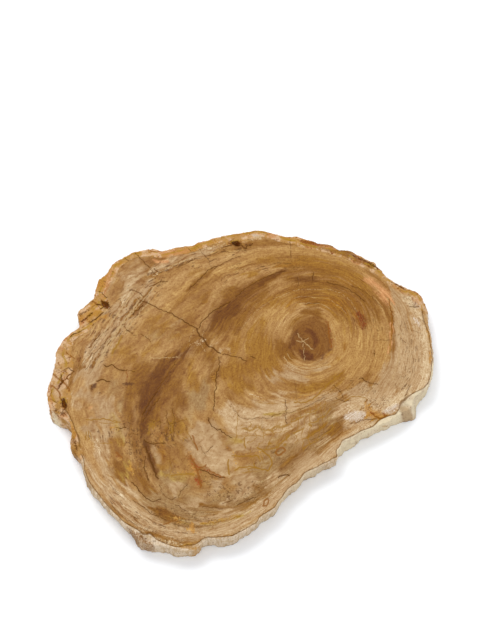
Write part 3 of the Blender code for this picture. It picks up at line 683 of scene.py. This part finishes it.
def evenPath(path, step):
    lengths = np.linalg.norm(np.diff(path, axis=0), axis=1)
    along = np.concatenate(([0], np.cumsum(lengths)))
    wanted = np.linspace(0, along[-1], max(2, round(along[-1] / step)))
    return np.stack([np.interp(wanted, along, path[:, k]) for k in (0, 1)], axis=1)


# The value of the growth rings at each place, by polar interpolation between the ring lines.
def ringField(plan):
    middle = toSlab([pith])[0]
    angles = np.linspace(-math.pi, math.pi, 721)
    weights = np.hanning(27)
    weights = weights[1:-1] / weights.sum()
    half = len(weights) // 2
    outside = 0.8       # rings per millimetre outside the last line
    radii = [np.zeros(len(angles))]
    values = [0.0]
    for value, places in ringLines:
        arm = toSlab(places) - middle
        turn = np.arctan2(arm[:, 1], arm[:, 0])
        order = np.argsort(turn)
        reach = np.interp(angles, turn[order], np.linalg.norm(arm, axis=1)[order], period=2 * math.pi)
        padded = np.concatenate((reach[-half - 1:-1], reach, reach[1:half + 1]))
        radii.append(np.convolve(padded, weights, mode="valid"))
        values.append(float(value))
    arm = plan - middle
    turn = np.arctan2(arm[:, 1], arm[:, 0])
    away = np.linalg.norm(arm, axis=1)
    edges = [np.interp(turn, angles, reach) for reach in radii]
    ring = values[-1] + (away - edges[-1]) * 1000 * outside
    for k in range(len(values) - 1, 0, -1):
        share = (away - edges[k - 1]) / (edges[k] - edges[k - 1])
        ring = np.where(away < edges[k], values[k - 1] + share * (values[k] - values[k - 1]), ring)
    return ring, turn


def insidePolygon(plan, loop):
    inside = np.zeros(len(plan), bool)
    x, y = plan[:, 0], plan[:, 1]
    for (ax, ay), (bx, by) in zip(loop, np.roll(loop, -1, axis=0)):
        if ay != by:
            crosses = (ay > y) != (by > y)
            inside ^= crosses & (x < (bx - ax) * (y - ay) / (by - ay) + ax)
    return inside


# Which places lie within the outer edge of a flat face and outside its holes.
def onFace(plan, edgePoints):
    inside = insidePolygon(plan, edgePoints[0])
    for hole in edgePoints[1:]:
        inside &= ~insidePolygon(plan, hole)
    return inside


def hexGrid(low, high, step, rng):
    rows = np.arange(low[1], high[1], step * math.sqrt(3) / 2)
    columns = np.arange(low[0], high[0], step)
    grid = np.array([(x + step / 2 * (i % 2), y) for i, y in enumerate(rows) for x in columns])
    return grid + rng.uniform(-slab["jitter"], slab["jitter"], grid.shape) * step


# The points of the grid that keep clear of the taken ones.
def clearOf(grid, taken, clear):
    cells = {}
    for point in taken:
        cells.setdefault(tuple((point // slab["cell"]).astype(int)), []).append(point)
    kept = []
    for point in grid:
        cx, cy = (point // slab["cell"]).astype(int)
        near = [other for gx in range(cx - 2, cx + 3) for gy in range(cy - 2, cy + 3)
                for other in cells.get((gx, gy), ())]
        gaps = np.abs(np.reshape(near, (-1, 2)) - point).sum(axis=1)
        if not ((gaps > 0) & (gaps < clear)).any():
            kept.append(point)
    return kept


# Open edges of the shape at this height, as ordered loops of its points, the longest first.
def openLoops(shape, height):
    ahead = {}
    for edge in shape.edges:
        if edge.is_boundary and all(abs(v.co.z - height) < slab["flat"] for v in edge.verts):
            loop = edge.link_loops[0]
            ahead[loop.link_loop_next.vert] = loop.vert
    found = []
    while ahead:
        start, vert = ahead.popitem()
        ring = [start]
        while vert is not start:
            ring.append(vert)
            vert = ahead.pop(vert)
        found.append(ring)
    return sorted(found, key=len, reverse=True)


# Where the grit makes the rim's line cross itself, the few points of the knot are set in a row again.
def untangle(ring):
    for i in range(len(ring)):
        for knot in range(2, slab["knot"] + 1):
            ends = (i, i + 1, i + knot, i + knot + 1)
            before, first, last, after = (ring[k % len(ring)] for k in ends)
            meeting = geometry.intersect_line_line_2d(before.co.xy, first.co.xy, last.co.xy, after.co.xy)
            if meeting is not None:
                print("rim: knot of", knot, "points undone")
                for k in range(1, knot + 1):
                    ring[(i + k) % len(ring)].co.xy = before.co.xy.lerp(after.co.xy, k / (knot + 1))


# Fills one flat face with an even net of triangles, through extra points where lines run.
def fillFace(shape, height, step, extra, rng, facing):
    loops = openLoops(shape, height)
    for ring in loops:
        untangle(ring)
    edgePoints = [np.array([v.co.xy for v in ring]) for ring in loops]
    grid = hexGrid(edgePoints[0].min(0), edgePoints[0].max(0), step, rng)
    grid = grid[onFace(grid, edgePoints)]
    extra = extra[onFace(extra, edgePoints)]
    rims = [evenPath(np.vstack((ring, ring[:1])), slab["cell"]) for ring in edgePoints]
    clear = slab["clear"] * min(step, slab["clearStep"])
    inner = clearOf(grid, np.concatenate((*rims, extra)), clear) + list(extra)
    verts = [v for ring in loops for v in ring]
    plan = [Vector(p) for ring in (*edgePoints, inner) for p in ring]
    edges = []
    for ring in edgePoints:
        start = len(edges)
        edges += [(start + i, start + (i + 1) % len(ring)) for i in range(len(ring))]
    points, _, faces, sources, _, _ = geometry.delaunay_2d_cdt(plan, edges, [], 1, 1e-7)
    made = []
    for point, source in zip(points, sources):
        rim = [s for s in source if s < len(verts)]
        made.append(verts[rim[0]] if rim else shape.verts.new((point.x, point.y, height)))
    middles = np.array([[points[i][:] for i in face] for face in faces]).mean(axis=1)
    for face, inside in zip(faces, onFace(middles, edgePoints)):
        if inside:
            shape.faces.new([made[i] for i in face[::facing]])


# The bark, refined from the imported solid: finer faces, softened, then ridged and gritty.
def buildBark(shape):
    height = max(v.co.z for v in shape.verts)
    flat = [f for f in shape.faces if all(v.co.z > height - slab["flat"] for v in f.verts)]
    flat += [f for f in shape.faces if all(v.co.z < slab["flat"] for v in f.verts)]
    bmesh.ops.delete(shape, geom=flat, context="FACES")
    bmesh.ops.subdivide_edges(shape, edges=shape.edges[:], cuts=slab["wallCuts"], use_grid_fill=True)
    shape.verts.ensure_lookup_table()
    points = np.array([v.co for v in shape.verts])
    pairs = np.array([[v.index for v in e.verts] for e in shape.edges])
    free = np.array([not v.is_boundary for v in shape.verts])
    count = np.bincount(pairs.ravel(), minlength=len(points))[:, None]
    for _ in range(slab["smoothing"]):
        total = np.zeros_like(points)
        np.add.at(total, pairs[:, 0], points[pairs[:, 1]])
        np.add.at(total, pairs[:, 1], points[pairs[:, 0]])
        points[free] = ((1 - slab["pull"]) * points + slab["pull"] * total / count)[free]
    for vert, point in zip(shape.verts, points):
        vert.co = point
    shape.normal_update()
    normals = np.array([v.normal for v in shape.verts])
    upright = 1 - np.abs(normals[:, 2:3])
    ridges = 1 - 2 * np.abs(softNoise(points, *relief["ridgeSize"], 21))
    grit = softNoise(points, *relief["gritSize"], 31) + softNoise(points, *relief["lumpSize"], 33)
    out = ridges[:, None] * relief["ridge"] * upright + grit[:, None] * relief["grit"]
    fixed = np.abs(points[:, 2:3] - height / 2) > height / 2 - slab["flat"]
    move = normals * out
    move[:, 2:3] = np.where(fixed, 0, move[:, 2:3])
    points = points + move
    between = np.clip(points[:, 2], slab["gap"], height - slab["gap"])
    points[:, 2] = np.where(fixed[:, 0], points[:, 2], between)
    for vert, point in zip(shape.verts, points):
        vert.co = point
    return height


# Points along every fine line, and beside it at its half width.
def linePoints():
    found = []
    for strokes in lines.values():
        for places, width, _ in strokes:
            path = linePath(places)
            run = np.gradient(path, axis=0)
            side = np.stack((-run[:, 1], run[:, 0]), axis=1)
            side /= np.linalg.norm(side, axis=1, keepdims=True)
            found += [path, path + side * width * mm, path - side * width * mm]
    return np.concatenate(found)


def buildSlab():
    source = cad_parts[slab["node"]]
    rng = np.random.default_rng(slab["seed"])
    shape = bmesh.new()
    shape.from_mesh(source.data)
    bmesh.ops.remove_doubles(shape, verts=shape.verts[:], dist=0.001 * mm)
    height = buildBark(shape)
    print("bark:", len(shape.faces), "faces")
    fillFace(shape, height, slab["gridStep"], linePoints(), rng, 1)
    fillFace(shape, 0.0, slab["underStep"], np.zeros((0, 2)), rng, -1)
    bmesh.ops.recalc_face_normals(shape, faces=shape.faces[:])
    for face in shape.faces:
        face.smooth = True
    mesh = bpy.data.meshes.new("petrifiedWood")
    shape.to_mesh(mesh)
    shape.free()
    print("slab:", len(mesh.polygons), "faces")
    return bpy.data.objects.new("petrifiedWood", mesh), height


# How far each place is from the rim of the polished face.
def rimDistance(plan, mesh, height):
    rim = rimPoints(mesh, height)
    nearest = np.full(len(plan), np.inf)
    share = 4000        # places at a time, to spare memory
    for start in range(0, len(plan), share):
        part = plan[start:start + share]
        nearest[start:start + share] = np.linalg.norm(part[:, None] - rim[None], axis=2).min(axis=1)
    return nearest


def rimPoints(mesh, height):
    points = np.array([v.co for v in mesh.vertices])
    flat = np.abs(points[:, 2] - height) < slab["flat"]
    edges = np.array([e.vertices[:] for e in mesh.edges])
    crossing = edges[flat[edges[:, 0]] != flat[edges[:, 1]]]
    rim = np.unique(crossing[flat[crossing]])
    return points[rim, :2]


def store(mesh, name, values):
    mesh.attributes.new(name, "FLOAT", "POINT").data.foreach_set("value", values.astype(np.float32))


fray = {
    "layer": 2.2,               # rings in one layer of wood
    "length": 50 * mm,          # how far a layer runs before its slip changes
    "slip": 11 * mm,
    "size": 7 * mm,             # size of the waves in a stain's edge, and how far they go
    "wobble": 2.2 * mm,
}


# Where each place's colour is looked up: thin layers of wood slip along their ring, so that stains fray
# at their ends.
def frayedPlan(plan, ring):
    nudge = 0.5 * mm
    slopeX = (ringField(plan + (nudge, 0))[0] - ring) / nudge
    slopeY = (ringField(plan + (0, nudge))[0] - ring) / nudge
    steep = np.maximum(np.hypot(slopeX, slopeY), 1e-6)
    tangent = np.stack((-slopeY, slopeX), axis=1) / steep[:, None]
    away = np.linalg.norm(plan - toSlab([pith])[0], axis=1)
    layers = np.column_stack((plan / fray["length"], ring / fray["layer"]))
    slip = stray(layers, 3) * np.minimum(fray["slip"], away * 0.3)
    waves = np.column_stack((plan / fray["size"], ring * 0))
    wobble = np.stack((stray(waves, 5), stray(waves, 6)), axis=1)
    return plan + tangent * slip[:, None] + wobble * fray["wobble"]


# Margins of the face that were never polished.
roughRim = [
    ([(66, 346), (62, 366), (60, 390), (58, 406), (64, 418), (73, 432), (76, 450)], 13, 1),
    ([(84, 318), (94, 312)], 9, 1), ([(110, 266), (100, 284)], 6, 0.8),
    ([(165, 252), (190, 249)], 6, 0.6), ([(236, 240), (252, 238)], 7, 0.7),
    ([(300, 242), (330, 248), (350, 254), (378, 268)], 6, 0.9), ([(395, 284), (412, 293)], 6, 0.7),
    ([(412, 300), (425, 312)], 6, 0.5), ([(376, 420), (398, 414), (412, 404)], 8, 1),
    ([(138, 536), (158, 542), (180, 546), (200, 545)], 7, 1), ([(338, 450), (345, 440)], 4, 0.6),
]

# The stain round each crack: how much wider and weaker it is than the crack's own stroke.
halo = {"wider": 2.6, "weaker": 0.8}


# Puts the rings, stains (with the walls' painted light and shade) and lines into the mesh, one value for
# each point, and lowers the face at its cracks, veins and unpolished margins.
def paintSlab(piece, height):
    mesh = piece.data
    points = np.array([v.co for v in mesh.vertices])
    plan = points[:, :2]
    ring, turn = ringField(plan)
    edge = rimDistance(plan, mesh, height)
    onTop = points[:, 2] > height - slab["flat"]
    onFlat = onTop | (points[:, 2] < slab["flat"])
    store(mesh, "ring", ring)
    rays = np.stack((np.cos(turn), np.sin(turn), ring * 0.01), axis=1)
    rayField = mesh.attributes.new("ray", "FLOAT_VECTOR", "POINT")
    rayField.data.foreach_set("vector", rays.astype(np.float32).ravel())
    store(mesh, "rim", np.where(onFlat, np.minimum(edge, 30 * mm) * 1000, 0))
    store(mesh, "bark", np.where(onFlat, 0.0, 1.0))

    frayed = frayedPlan(plan, ring)
    for name, strokes in stains.items():
        store(mesh, name, strokeField(plan if name in smallMarks else frayed, strokes))
    for name, strokes in (("net", net), ("dashes", dashes), ("stipple", stipple), ("banding", banding)):
        store(mesh, name, strokeField(frayed, strokes))
    fields = {name: lineField(plan, strokes) for name, strokes in lines.items()}
    for name, field in fields.items():
        store(mesh, name, field)
    halos = [(places, width * halo["wider"], strength * halo["weaker"])
             for places, width, strength in lines["crack"]]
    store(mesh, "crackHalo", strokeField(plan, halos))
    warm = strokeField(plan, warmBark)
    store(mesh, "warmBark", warm)

    rough = strokeField(plan, roughRim) * np.clip(1.2 - edge / relief["roughReach"], 0, 1)
    margin = warm * np.clip(1 - edge / relief["warmReach"], 0, 1) ** 0.5
    rough = np.maximum(rough, 0.75 * margin)
    store(mesh, "roughRim", rough)
    lumps = softNoise(points, *relief["roughSize"], 41)
    lumps = lumps + 0.7 * softNoise(points, *relief["roughFine"], 43)
    depth = relief["crackDepth"] * fields["crack"] + relief["veinDepth"] * fields["vein"]
    depth = depth + relief["rough"] * rough * (0.45 + 1.4 * lumps)
    depth = np.maximum(depth, 0) * np.where(edge > relief["rimWidth"], 1, 0.7)
    points[onTop, 2] -= depth[onTop]
    mesh.vertices.foreach_set("co", points.astype(np.float32).ravel())
    mesh.update()


# Shader maths: wraps a socket, so that sums of values add their own nodes.
class Wire:
    tree = None

    def __init__(self, socket):
        self.socket = socket

    # Makes any node: its type, its settings, its sockets' values or links, and the output that is used.
    @classmethod
    def node(cls, kind, settings=None, sockets=None, out=0):
        made = cls.tree.nodes.new("ShaderNode" + kind)
        for name, value in (settings or {}).items():
            setattr(made, name, value)
        for name, value in (sockets or {}).items():
            if isinstance(value, Wire):
                cls.tree.links.new(value.socket, made.inputs[name])
            else:
                made.inputs[name].default_value = value
        return cls(made.outputs[out] if made.outputs else None)

    def maths(self, operation, other=None):
        values = {0: self} if other is None else {0: self, 1: other}
        return Wire.node("Math", {"operation": operation}, values)

    def __add__(self, other):
        return self.maths("ADD", other)

    __radd__ = __add__

    def __mul__(self, other):
        return self.maths("MULTIPLY", other)

    __rmul__ = __mul__

    def __sub__(self, other):
        return self.maths("SUBTRACT", other)

    def __rsub__(self, other):
        return Wire.node("Math", {"operation": "SUBTRACT"}, {0: other, 1: self})

    # A smooth step from 0 below low to 1 above high.
    def step(self, low, high):
        settings = {"interpolation_type": "SMOOTHSTEP"}
        return Wire.node("MapRange", settings, {0: self, 1: low, 2: high, 3: 0.0, 4: 1.0})

    # This colour, with another laid over it where the mask is 1.
    def under(self, colour, mask):
        settings = {"data_type": "RGBA", "clamp_factor": True}
        return Wire.node("Mix", settings, {0: mask, 6: self, 7: colour}, 2)


# What this light adds to the stone's own colour, and how much it brightens it.
seen = {"sheen": 0.014, "gain": 1.27}


# A colour as it is seen in this light, from 0 to 255, turned into the stone's own colour.
def tone(red, green, blue):
    def own(value):
        value = value / 255
        linear = value / 12.92 if value <= 0.04045 else ((value + 0.055) / 1.055) ** 2.4
        return max((linear - seen["sheen"]) / seen["gain"], 0.002)
    return (own(red), own(green), own(blue), 1.0)


# Colours as they are seen.
stone = {
    "base": (171, 128, 76),
    "light": (185, 144, 92),
    "dark": (150, 105, 54),
    "honey": (180, 137, 81),
    "golden": (156, 110, 50),
    "greyBeige": (182, 148, 107),
    "pinkBeige": (193, 160, 119),
    "brown": (138, 93, 43),
    "taupe": (161, 126, 83),
    "umber": (112, 70, 32),
    "core": (132, 87, 43),
    "coreDark": (104, 62, 38),
    "cream": (212, 184, 144),
    "ochre": (188, 136, 60),
    "orange": (202, 144, 94),
    "olive": (172, 136, 68),
    "brick": (146, 66, 12),
    "chalk": (214, 195, 174),
    # Paler bark for the walls' painted light, and for a real pale spot on the left rim.
    "wallPaleAndPaintedLight": (244, 228, 194),
    # Tan bark, used as painted shade on the left wall.
    "wallTanAndPaintedShade": (190, 158, 118),
    "amber": (150, 100, 42),
    "rustLine": (142, 88, 30),
    "rust": (126, 62, 10),
    "nugget": (190, 138, 72),
    # Dark pits, also used as painted shade in the nub's gaps.
    "darkPitsAndGapShade": (94, 58, 24),
    "hollow": (116, 66, 34),
    "crack": (98, 64, 32),
    "crackHalo": (122, 82, 42),
    "vein": (156, 112, 40),
    "pale": (196, 164, 116),
    "barkPale": (234, 213, 185),
    "barkTan": (202, 173, 136),
    "barkDark": (134, 98, 60),
    "barkWarm": (192, 146, 88),
    "barkPink": (222, 184, 144),
    "edgeLine": (110, 74, 36),
    "edging": (176, 136, 52),
}

polish = {"roughness": 0.34, "specular": 0.07}


def stoneMaterial():
    material = bpy.data.materials.new("polishedPetrifiedWood")
    material.use_nodes = True
    tree = material.node_tree
    tree.nodes.clear()
    Wire.tree = tree
    make = Wire.node
    colours = {name: tone(*value) for name, value in stone.items()}

    def field(name, out=2):
        return make("Attribute", {"attribute_name": name}, None, out)

    place = make("TexCoord", None, None, 3)
    place = make("VectorMath", {"operation": "SCALE"}, {0: place, 3: 1000.0})
    x = make("SeparateXYZ", None, {0: place}, 0)
    y = make("SeparateXYZ", None, {0: place}, 1)
    z = make("SeparateXYZ", None, {0: place}, 2)

    def cloud(size, detail=3.0, roughness=0.55):
        sockets = {"Vector": place, "Scale": 1.0 / size, "Detail": detail, "Roughness": roughness}
        return make("TexNoise", {"noise_dimensions": "3D"}, sockets, 0)

    calmRing = field("ring") + (cloud(22, 1) - 0.5) * 5.0
    warpedRing = calmRing + (cloud(5, 1) - 0.5) * 0.9

    # Grain that runs along the rings: narrow across them, long along them, sizes in millimetres.
    def grain(across, along, detail=2.0, roughness=0.5, ring=warpedRing):
        vector = make("CombineXYZ", None, {0: x * (1 / along), 1: y * (1 / along), 2: ring * (1 / across)})
        sockets = {"Vector": vector, "Scale": 1.0, "Detail": detail, "Roughness": roughness}
        return make("TexNoise", {"noise_dimensions": "3D"}, sockets, 0)

    broad = grain(9, 90, 2)
    medium = grain(3.4, 40, 2)
    fine = grain(1.4, 18, 2, 0.6)
    hair = grain(0.8, 9, 2)
    speck = cloud(1.3, 4, 0.7)
    mottle = cloud(7, 5, 0.65)

    # Fine lines from the pith outwards.
    ray = field("ray", 1)
    rays = make("TexNoise", {"noise_dimensions": "3D"}, {"Vector": ray, "Scale": 46.0, "Detail": 3.0}, 0)

    tint = make("RGB")
    tint.socket.default_value = colours["base"]
    tint = tint.under(colours["light"], broad.step(0.46, 0.64))
    tint = tint.under(colours["dark"], 1 - broad.step(0.34, 0.50))

    feather = (medium - 0.5) * 1.3 + (mottle - 0.5) * 0.5 + (fine - 0.5) * 0.6
    for name in ("taupe", "honey", "golden", "amber", "greyBeige", "pinkBeige", "brown", "umber",
                 "orange", "olive"):
        mask = (field(name) + feather).step(0.16, 0.90)
        tint = tint.under(colours[name], mask * field(name).step(0.02, 0.20))
    for name in ("core", "coreDark"):
        mask = (field(name) + (mottle - 0.5) * 0.4 + (fine - 0.5) * 0.4).step(0.15, 0.80)
        tint = tint.under(colours[name], mask * 0.9)
    spots = (speck - 0.5) * 3.0 + (mottle - 0.5) * 1.2
    # The last of these marks also lays painted shade into the gaps of the nub.
    marks = (("chalk", 0.5, 0.35), ("cream", 0.6, 0.4), ("ochre", 0.9, 0.5), ("nugget", 0.8, 0.35),
             ("rust", 1.3, 0.5), ("brick", 1.6, 0.7), ("darkPitsAndGapShade", 0.9, 0.4))
    for name, broken, start in marks:
        mask = (field(name) + spots * broken).step(start, start + 0.44)
        tint = tint.under(colours[name], mask * (field(name).step(0.05, 0.45) * 0.88))

    # Streaks of the rings, light and dark, over every stain; the paler stone is also the greyer one.
    band = (field("banding") * 0.85 + 0.36) * (1 - field("greyBeige") * 0.6)
    streak = band * ((medium - 0.5) * 0.75 + (fine - 0.5) * 0.8) + (hair - 0.5) * 0.7 + (mottle - 0.5) * 0.25
    smooth = 1 - field("greyBeige") * 0.55
    streak = streak + (speck - 0.5) * 0.9 * smooth + (rays - 0.5) * 0.3
    streak = streak + band * (fine.step(0.58, 0.68) * 0.16 - (1 - fine.step(0.32, 0.42)) * 0.22)
    streak = streak - (1 - speck.step(0.32, 0.38)) * 0.28 - (1 - rays.step(0.30, 0.40)) * 0.14
    streak = streak - grain(0.9, 3.5, 2, 0.6).step(0.64, 0.70) * (smooth * 0.30)
    streak = streak - cloud(1.0, 2).step(0.63, 0.67) * (cloud(12, 2).step(0.46, 0.56) * 0.32)
    shade = make("CombineXYZ", None, {0: streak.maths("EXPONENT"), 1: (streak * 1.5).maths("EXPONENT"),
                                      2: (streak * 2.1).maths("EXPONENT")})
    tint = make("VectorMath", {"operation": "MULTIPLY"}, {0: tint, 1: shade})

    # Short dark dashes where the wood tore along its rings, and dark specks.
    dash = grain(0.75, 13, 2, 0.6, calmRing).step(0.55, 0.58) * cloud(5, 2).step(0.45, 0.53)
    dots = grain(1.0, 1.8, 3, 0.7).step(0.52, 0.56) * cloud(5, 2).step(0.44, 0.54)
    torn = field("dashes").step(0.10, 0.55) * dash + field("stipple").step(0.15, 0.60) * dots
    tint = tint.under(colours["crack"], torn.maths("MINIMUM", 1.0) * 0.7)

    # The net of thin veins.
    def wires(value, spacing, width):
        cell = (value * (1 / spacing)).maths("FRACT") - 0.5
        return 1 - cell.maths("ABSOLUTE").step(width * 0.35, width)

    turn = make("SeparateXYZ", None, {0: ray}, 1).maths("ARCTAN2", make("SeparateXYZ", None, {0: ray}, 0))
    alongRings = wires(warpedRing + (cloud(9, 2) - 0.5) * 3.0, 5.5, 0.10)
    acrossRings = wires(turn * 14.0 + (cloud(14, 2) - 0.5) * 2.6, 1.0, 0.08)
    net = (alongRings + acrossRings).maths("MINIMUM", 1.0)
    net = net * (field("net").step(0.15, 0.50) * cloud(6, 2).step(0.34, 0.48))
    tint = tint.under(colours["vein"], net * 0.75)

    wear = (speck - 0.5) * 0.9 + (cloud(2.6, 2) - 0.5) * 0.8
    crack = (field("crack") + wear * 0.7).step(0.20, 0.64)
    vein = (field("vein") + wear * 0.6).step(0.14, 0.60)
    pale = (field("pale") + wear * 1.1).step(0.26, 0.80)
    tint = tint.under(colours["crackHalo"], field("crackHalo") * mottle.step(0.40, 0.62) * 0.45)
    tint = tint.under(colours["pale"], pale * 0.72)
    tint = tint.under(colours["vein"], vein * 0.85)
    rustLine = (field("rustLine") + wear * 0.7).step(0.16, 0.56)

    # The unpolished bark: pale and striated in front, warm behind, where it also covers the face's margin.
    bark = field("bark")
    rim = field("rim")
    warm = field("warmBark")
    rough = field("roughRim")
    stripes = make("CombineXYZ", None, {0: x * 0.5, 1: y * 0.5, 2: z * 0.07})
    sockets = {"Vector": stripes, "Scale": 1.0, "Detail": 4.0}
    stripes = make("TexNoise", {"noise_dimensions": "3D"}, sockets, 0)
    crust = make("RGB")
    crust.socket.default_value = colours["barkPale"]
    crust = crust.under(colours["barkTan"], 1 - (stripes * 0.6 + mottle * 0.6 - 0.1).step(0.38, 0.58))
    warmth = warm.step(0.02, 0.25)
    crust = crust.under(colours["barkWarm"], warmth)
    crust = crust.under(colours["barkPink"], warmth * cloud(11, 3).step(0.44, 0.56))
    crust = crust.under(colours["ochre"], warmth * (cloud(8, 4, 0.7).step(0.52, 0.64) * 0.8))
    crust = crust.under(colours["orange"], warmth * (cloud(14, 3).step(0.56, 0.66) * 0.8))
    rusty = cloud(3.5, 4, 0.7).step(0.57, 0.62) * cloud(14, 2).step(0.46, 0.58)
    crust = crust.under(colours["rust"], warmth * rusty)
    crust = crust.under(colours["barkDark"], warmth * (1 - cloud(3, 4, 0.75).step(0.36, 0.41)) * 0.75)
    crust = crust.under(colours["barkDark"], (1 - (speck * 0.7 + mottle * 0.3).step(0.32, 0.42)) * 0.7)
    # Among these, the dark pits also lay painted shade into the nub's gaps.
    for name in ("chalk", "brown", "ochre", "orange", "rust", "brick", "darkPitsAndGapShade"):
        crust = crust.under(colours[name], (field(name) + spots * 0.8).step(0.35, 0.8) * 0.75)
    crust = crust.under(colours["pinkBeige"], field("pinkBeige").step(0.2, 0.8) * 0.35)
    # Painted light: the front and right walls are paler where more light falls on them, with a real pale
    # spot on the left rim.
    paintedLightAndPale = field("wallPaleAndPaintedLight").step(0.05, 0.70) * (0.85 - mottle.step(0.48, 0.60) * 0.5)
    crust = crust.under(colours["wallPaleAndPaintedLight"], paintedLightAndPale)
    # Painted shade darkens the left wall's bark.
    crust = crust.under(colours["wallTanAndPaintedShade"], field("wallTanAndPaintedShade").step(0.05, 0.60) * 0.8)
    crust = crust.under(colours["hollow"], (field("hollow") + spots * 1.3).step(0.35, 0.75) * 0.8)
    margin = 1 - (rim - rough * 11.0 + (cloud(6, 4) - 0.5) * 9.0 + (speck - 0.5) * 3.0).step(2.6, 4.6)
    margin = margin * warm.step(0.20, 0.60)
    tint = tint.under(crust, (bark + margin * 0.9).maths("MINIMUM", 1.0))
    edging = 1 - (rim + (speck - 0.5) * 1.4).step(0.8, 2.2)
    edging = edging * warm.step(0.3, 0.8) * cloud(9, 2).step(0.40, 0.54)
    tint = tint.under(colours["edging"], edging * (0.75 - bark * 0.75))
    tint = tint.under(colours["rustLine"], rustLine * 0.8)
    tint = tint.under(colours["crack"], crack * (1 - bark * 0.6) * 0.88)
    line = (1 - (rim + (speck - 0.5) * 1.6 + (cloud(6, 2) - 0.5) * 1.6).step(0.2, 1.3)) * 0.62
    tint = tint.under(colours["edgeLine"], line * (1 - bark.step(0.6, 1.0)) * (1 - warm.step(0.3, 0.8)))

    coarse = (rough + bark + margin).maths("MINIMUM", 1.0)
    gloss = polish["roughness"] + (cloud(4, 3) - 0.5) * 0.12 + crack * 0.30 + coarse * 0.45
    bumps = fine * 0.02 + speck * 0.03 - crack * 0.10 + coarse * (cloud(1.6, 4, 0.65) * 0.8 + stripes * 0.3)
    normal = make("Bump", None, {"Height": bumps, "Distance": 0.001, "Strength": 1.0})

    shader = make("BsdfPrincipled", None, {
        "Base Color": tint, "Roughness": gloss, "Normal": normal, "Specular IOR Level": polish["specular"]})
    make("OutputMaterial", None, {"Surface": shader})
    return material


def plainMaterial(name, colour):
    material = bpy.data.materials.new(name)
    material.use_nodes = True
    shader = material.node_tree.nodes["Principled BSDF"]
    shader.inputs["Base Color"].default_value = colour
    shader.inputs["Roughness"].default_value = 0.9
    shader.inputs["Specular IOR Level"].default_value = 0.0
    return material


studio = {
    "floorSize": 8.0,
    "floorLevel": -0.1 * mm,
    "floorTone": (0.885, 0.905, 0.935, 1),
    "sky": 0.79,
    "lamps": {
        "backLeft": {"at": (-0.75, 1.15, 1.9), "size": 1.3, "power": 28},
        "backRight": {"at": (0.35, 1.3, 1.9), "size": 1.0, "power": 5},
        "fill": {"at": (0.3, -1.6, 2.0), "size": 2.0, "power": 14},
    },
}


def buildStudio():
    bpy.ops.mesh.primitive_plane_add(size=studio["floorSize"], location=(0, 0, studio["floorLevel"]))
    floor = bpy.context.object
    floor.name = "floor"
    floor.data.materials.append(plainMaterial("paleFloor", studio["floorTone"]))
    world = bpy.data.worlds.new("paleRoom")
    world.use_nodes = True
    world.node_tree.nodes["Background"].inputs["Color"].default_value = (1, 1, 1, 1)
    world.node_tree.nodes["Background"].inputs["Strength"].default_value = studio["sky"]
    bpy.context.scene.world = world
    for name, choice in studio["lamps"].items():
        lamp = bpy.data.lights.new(name, "AREA")
        lamp.shape = "DISK"
        lamp.size = choice["size"]
        lamp.energy = choice["power"]
        light = bpy.data.objects.new(name, lamp)
        light.location = choice["at"]
        light.rotation_euler = (-Vector(choice["at"])).to_track_quat("-Z", "Y").to_euler()
        bpy.context.scene.collection.objects.link(light)
    bpy.context.scene.view_settings.view_transform = "Standard"


def buildCamera(height):
    data = bpy.data.cameras.new("camera")
    data.lens = view["distance"] * data.sensor_width / view["frameHeight"]
    camera = bpy.data.objects.new("camera", data)
    x, y = toSlab([view["middle"]])[0]
    away = view["distance"] * view["unit"]
    tilt = view["elevation"]
    camera.location = (x, y - away * math.cos(tilt), height + away * math.sin(tilt))
    camera.rotation_euler = (math.pi / 2 - tilt, 0, 0)
    bpy.context.scene.collection.objects.link(camera)
    bpy.context.scene.camera = camera


piece, height = buildSlab()
bpy.context.scene.collection.objects.link(piece)
paintSlab(piece, height)
piece.data.set_sharp_from_angle(angle=slab["sharp"])
piece.data.materials.append(stoneMaterial())
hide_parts(slab["node"])
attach(piece, "root")
print("slab painted")

buildStudio()
buildCamera(height)
print("studio and camera ready")
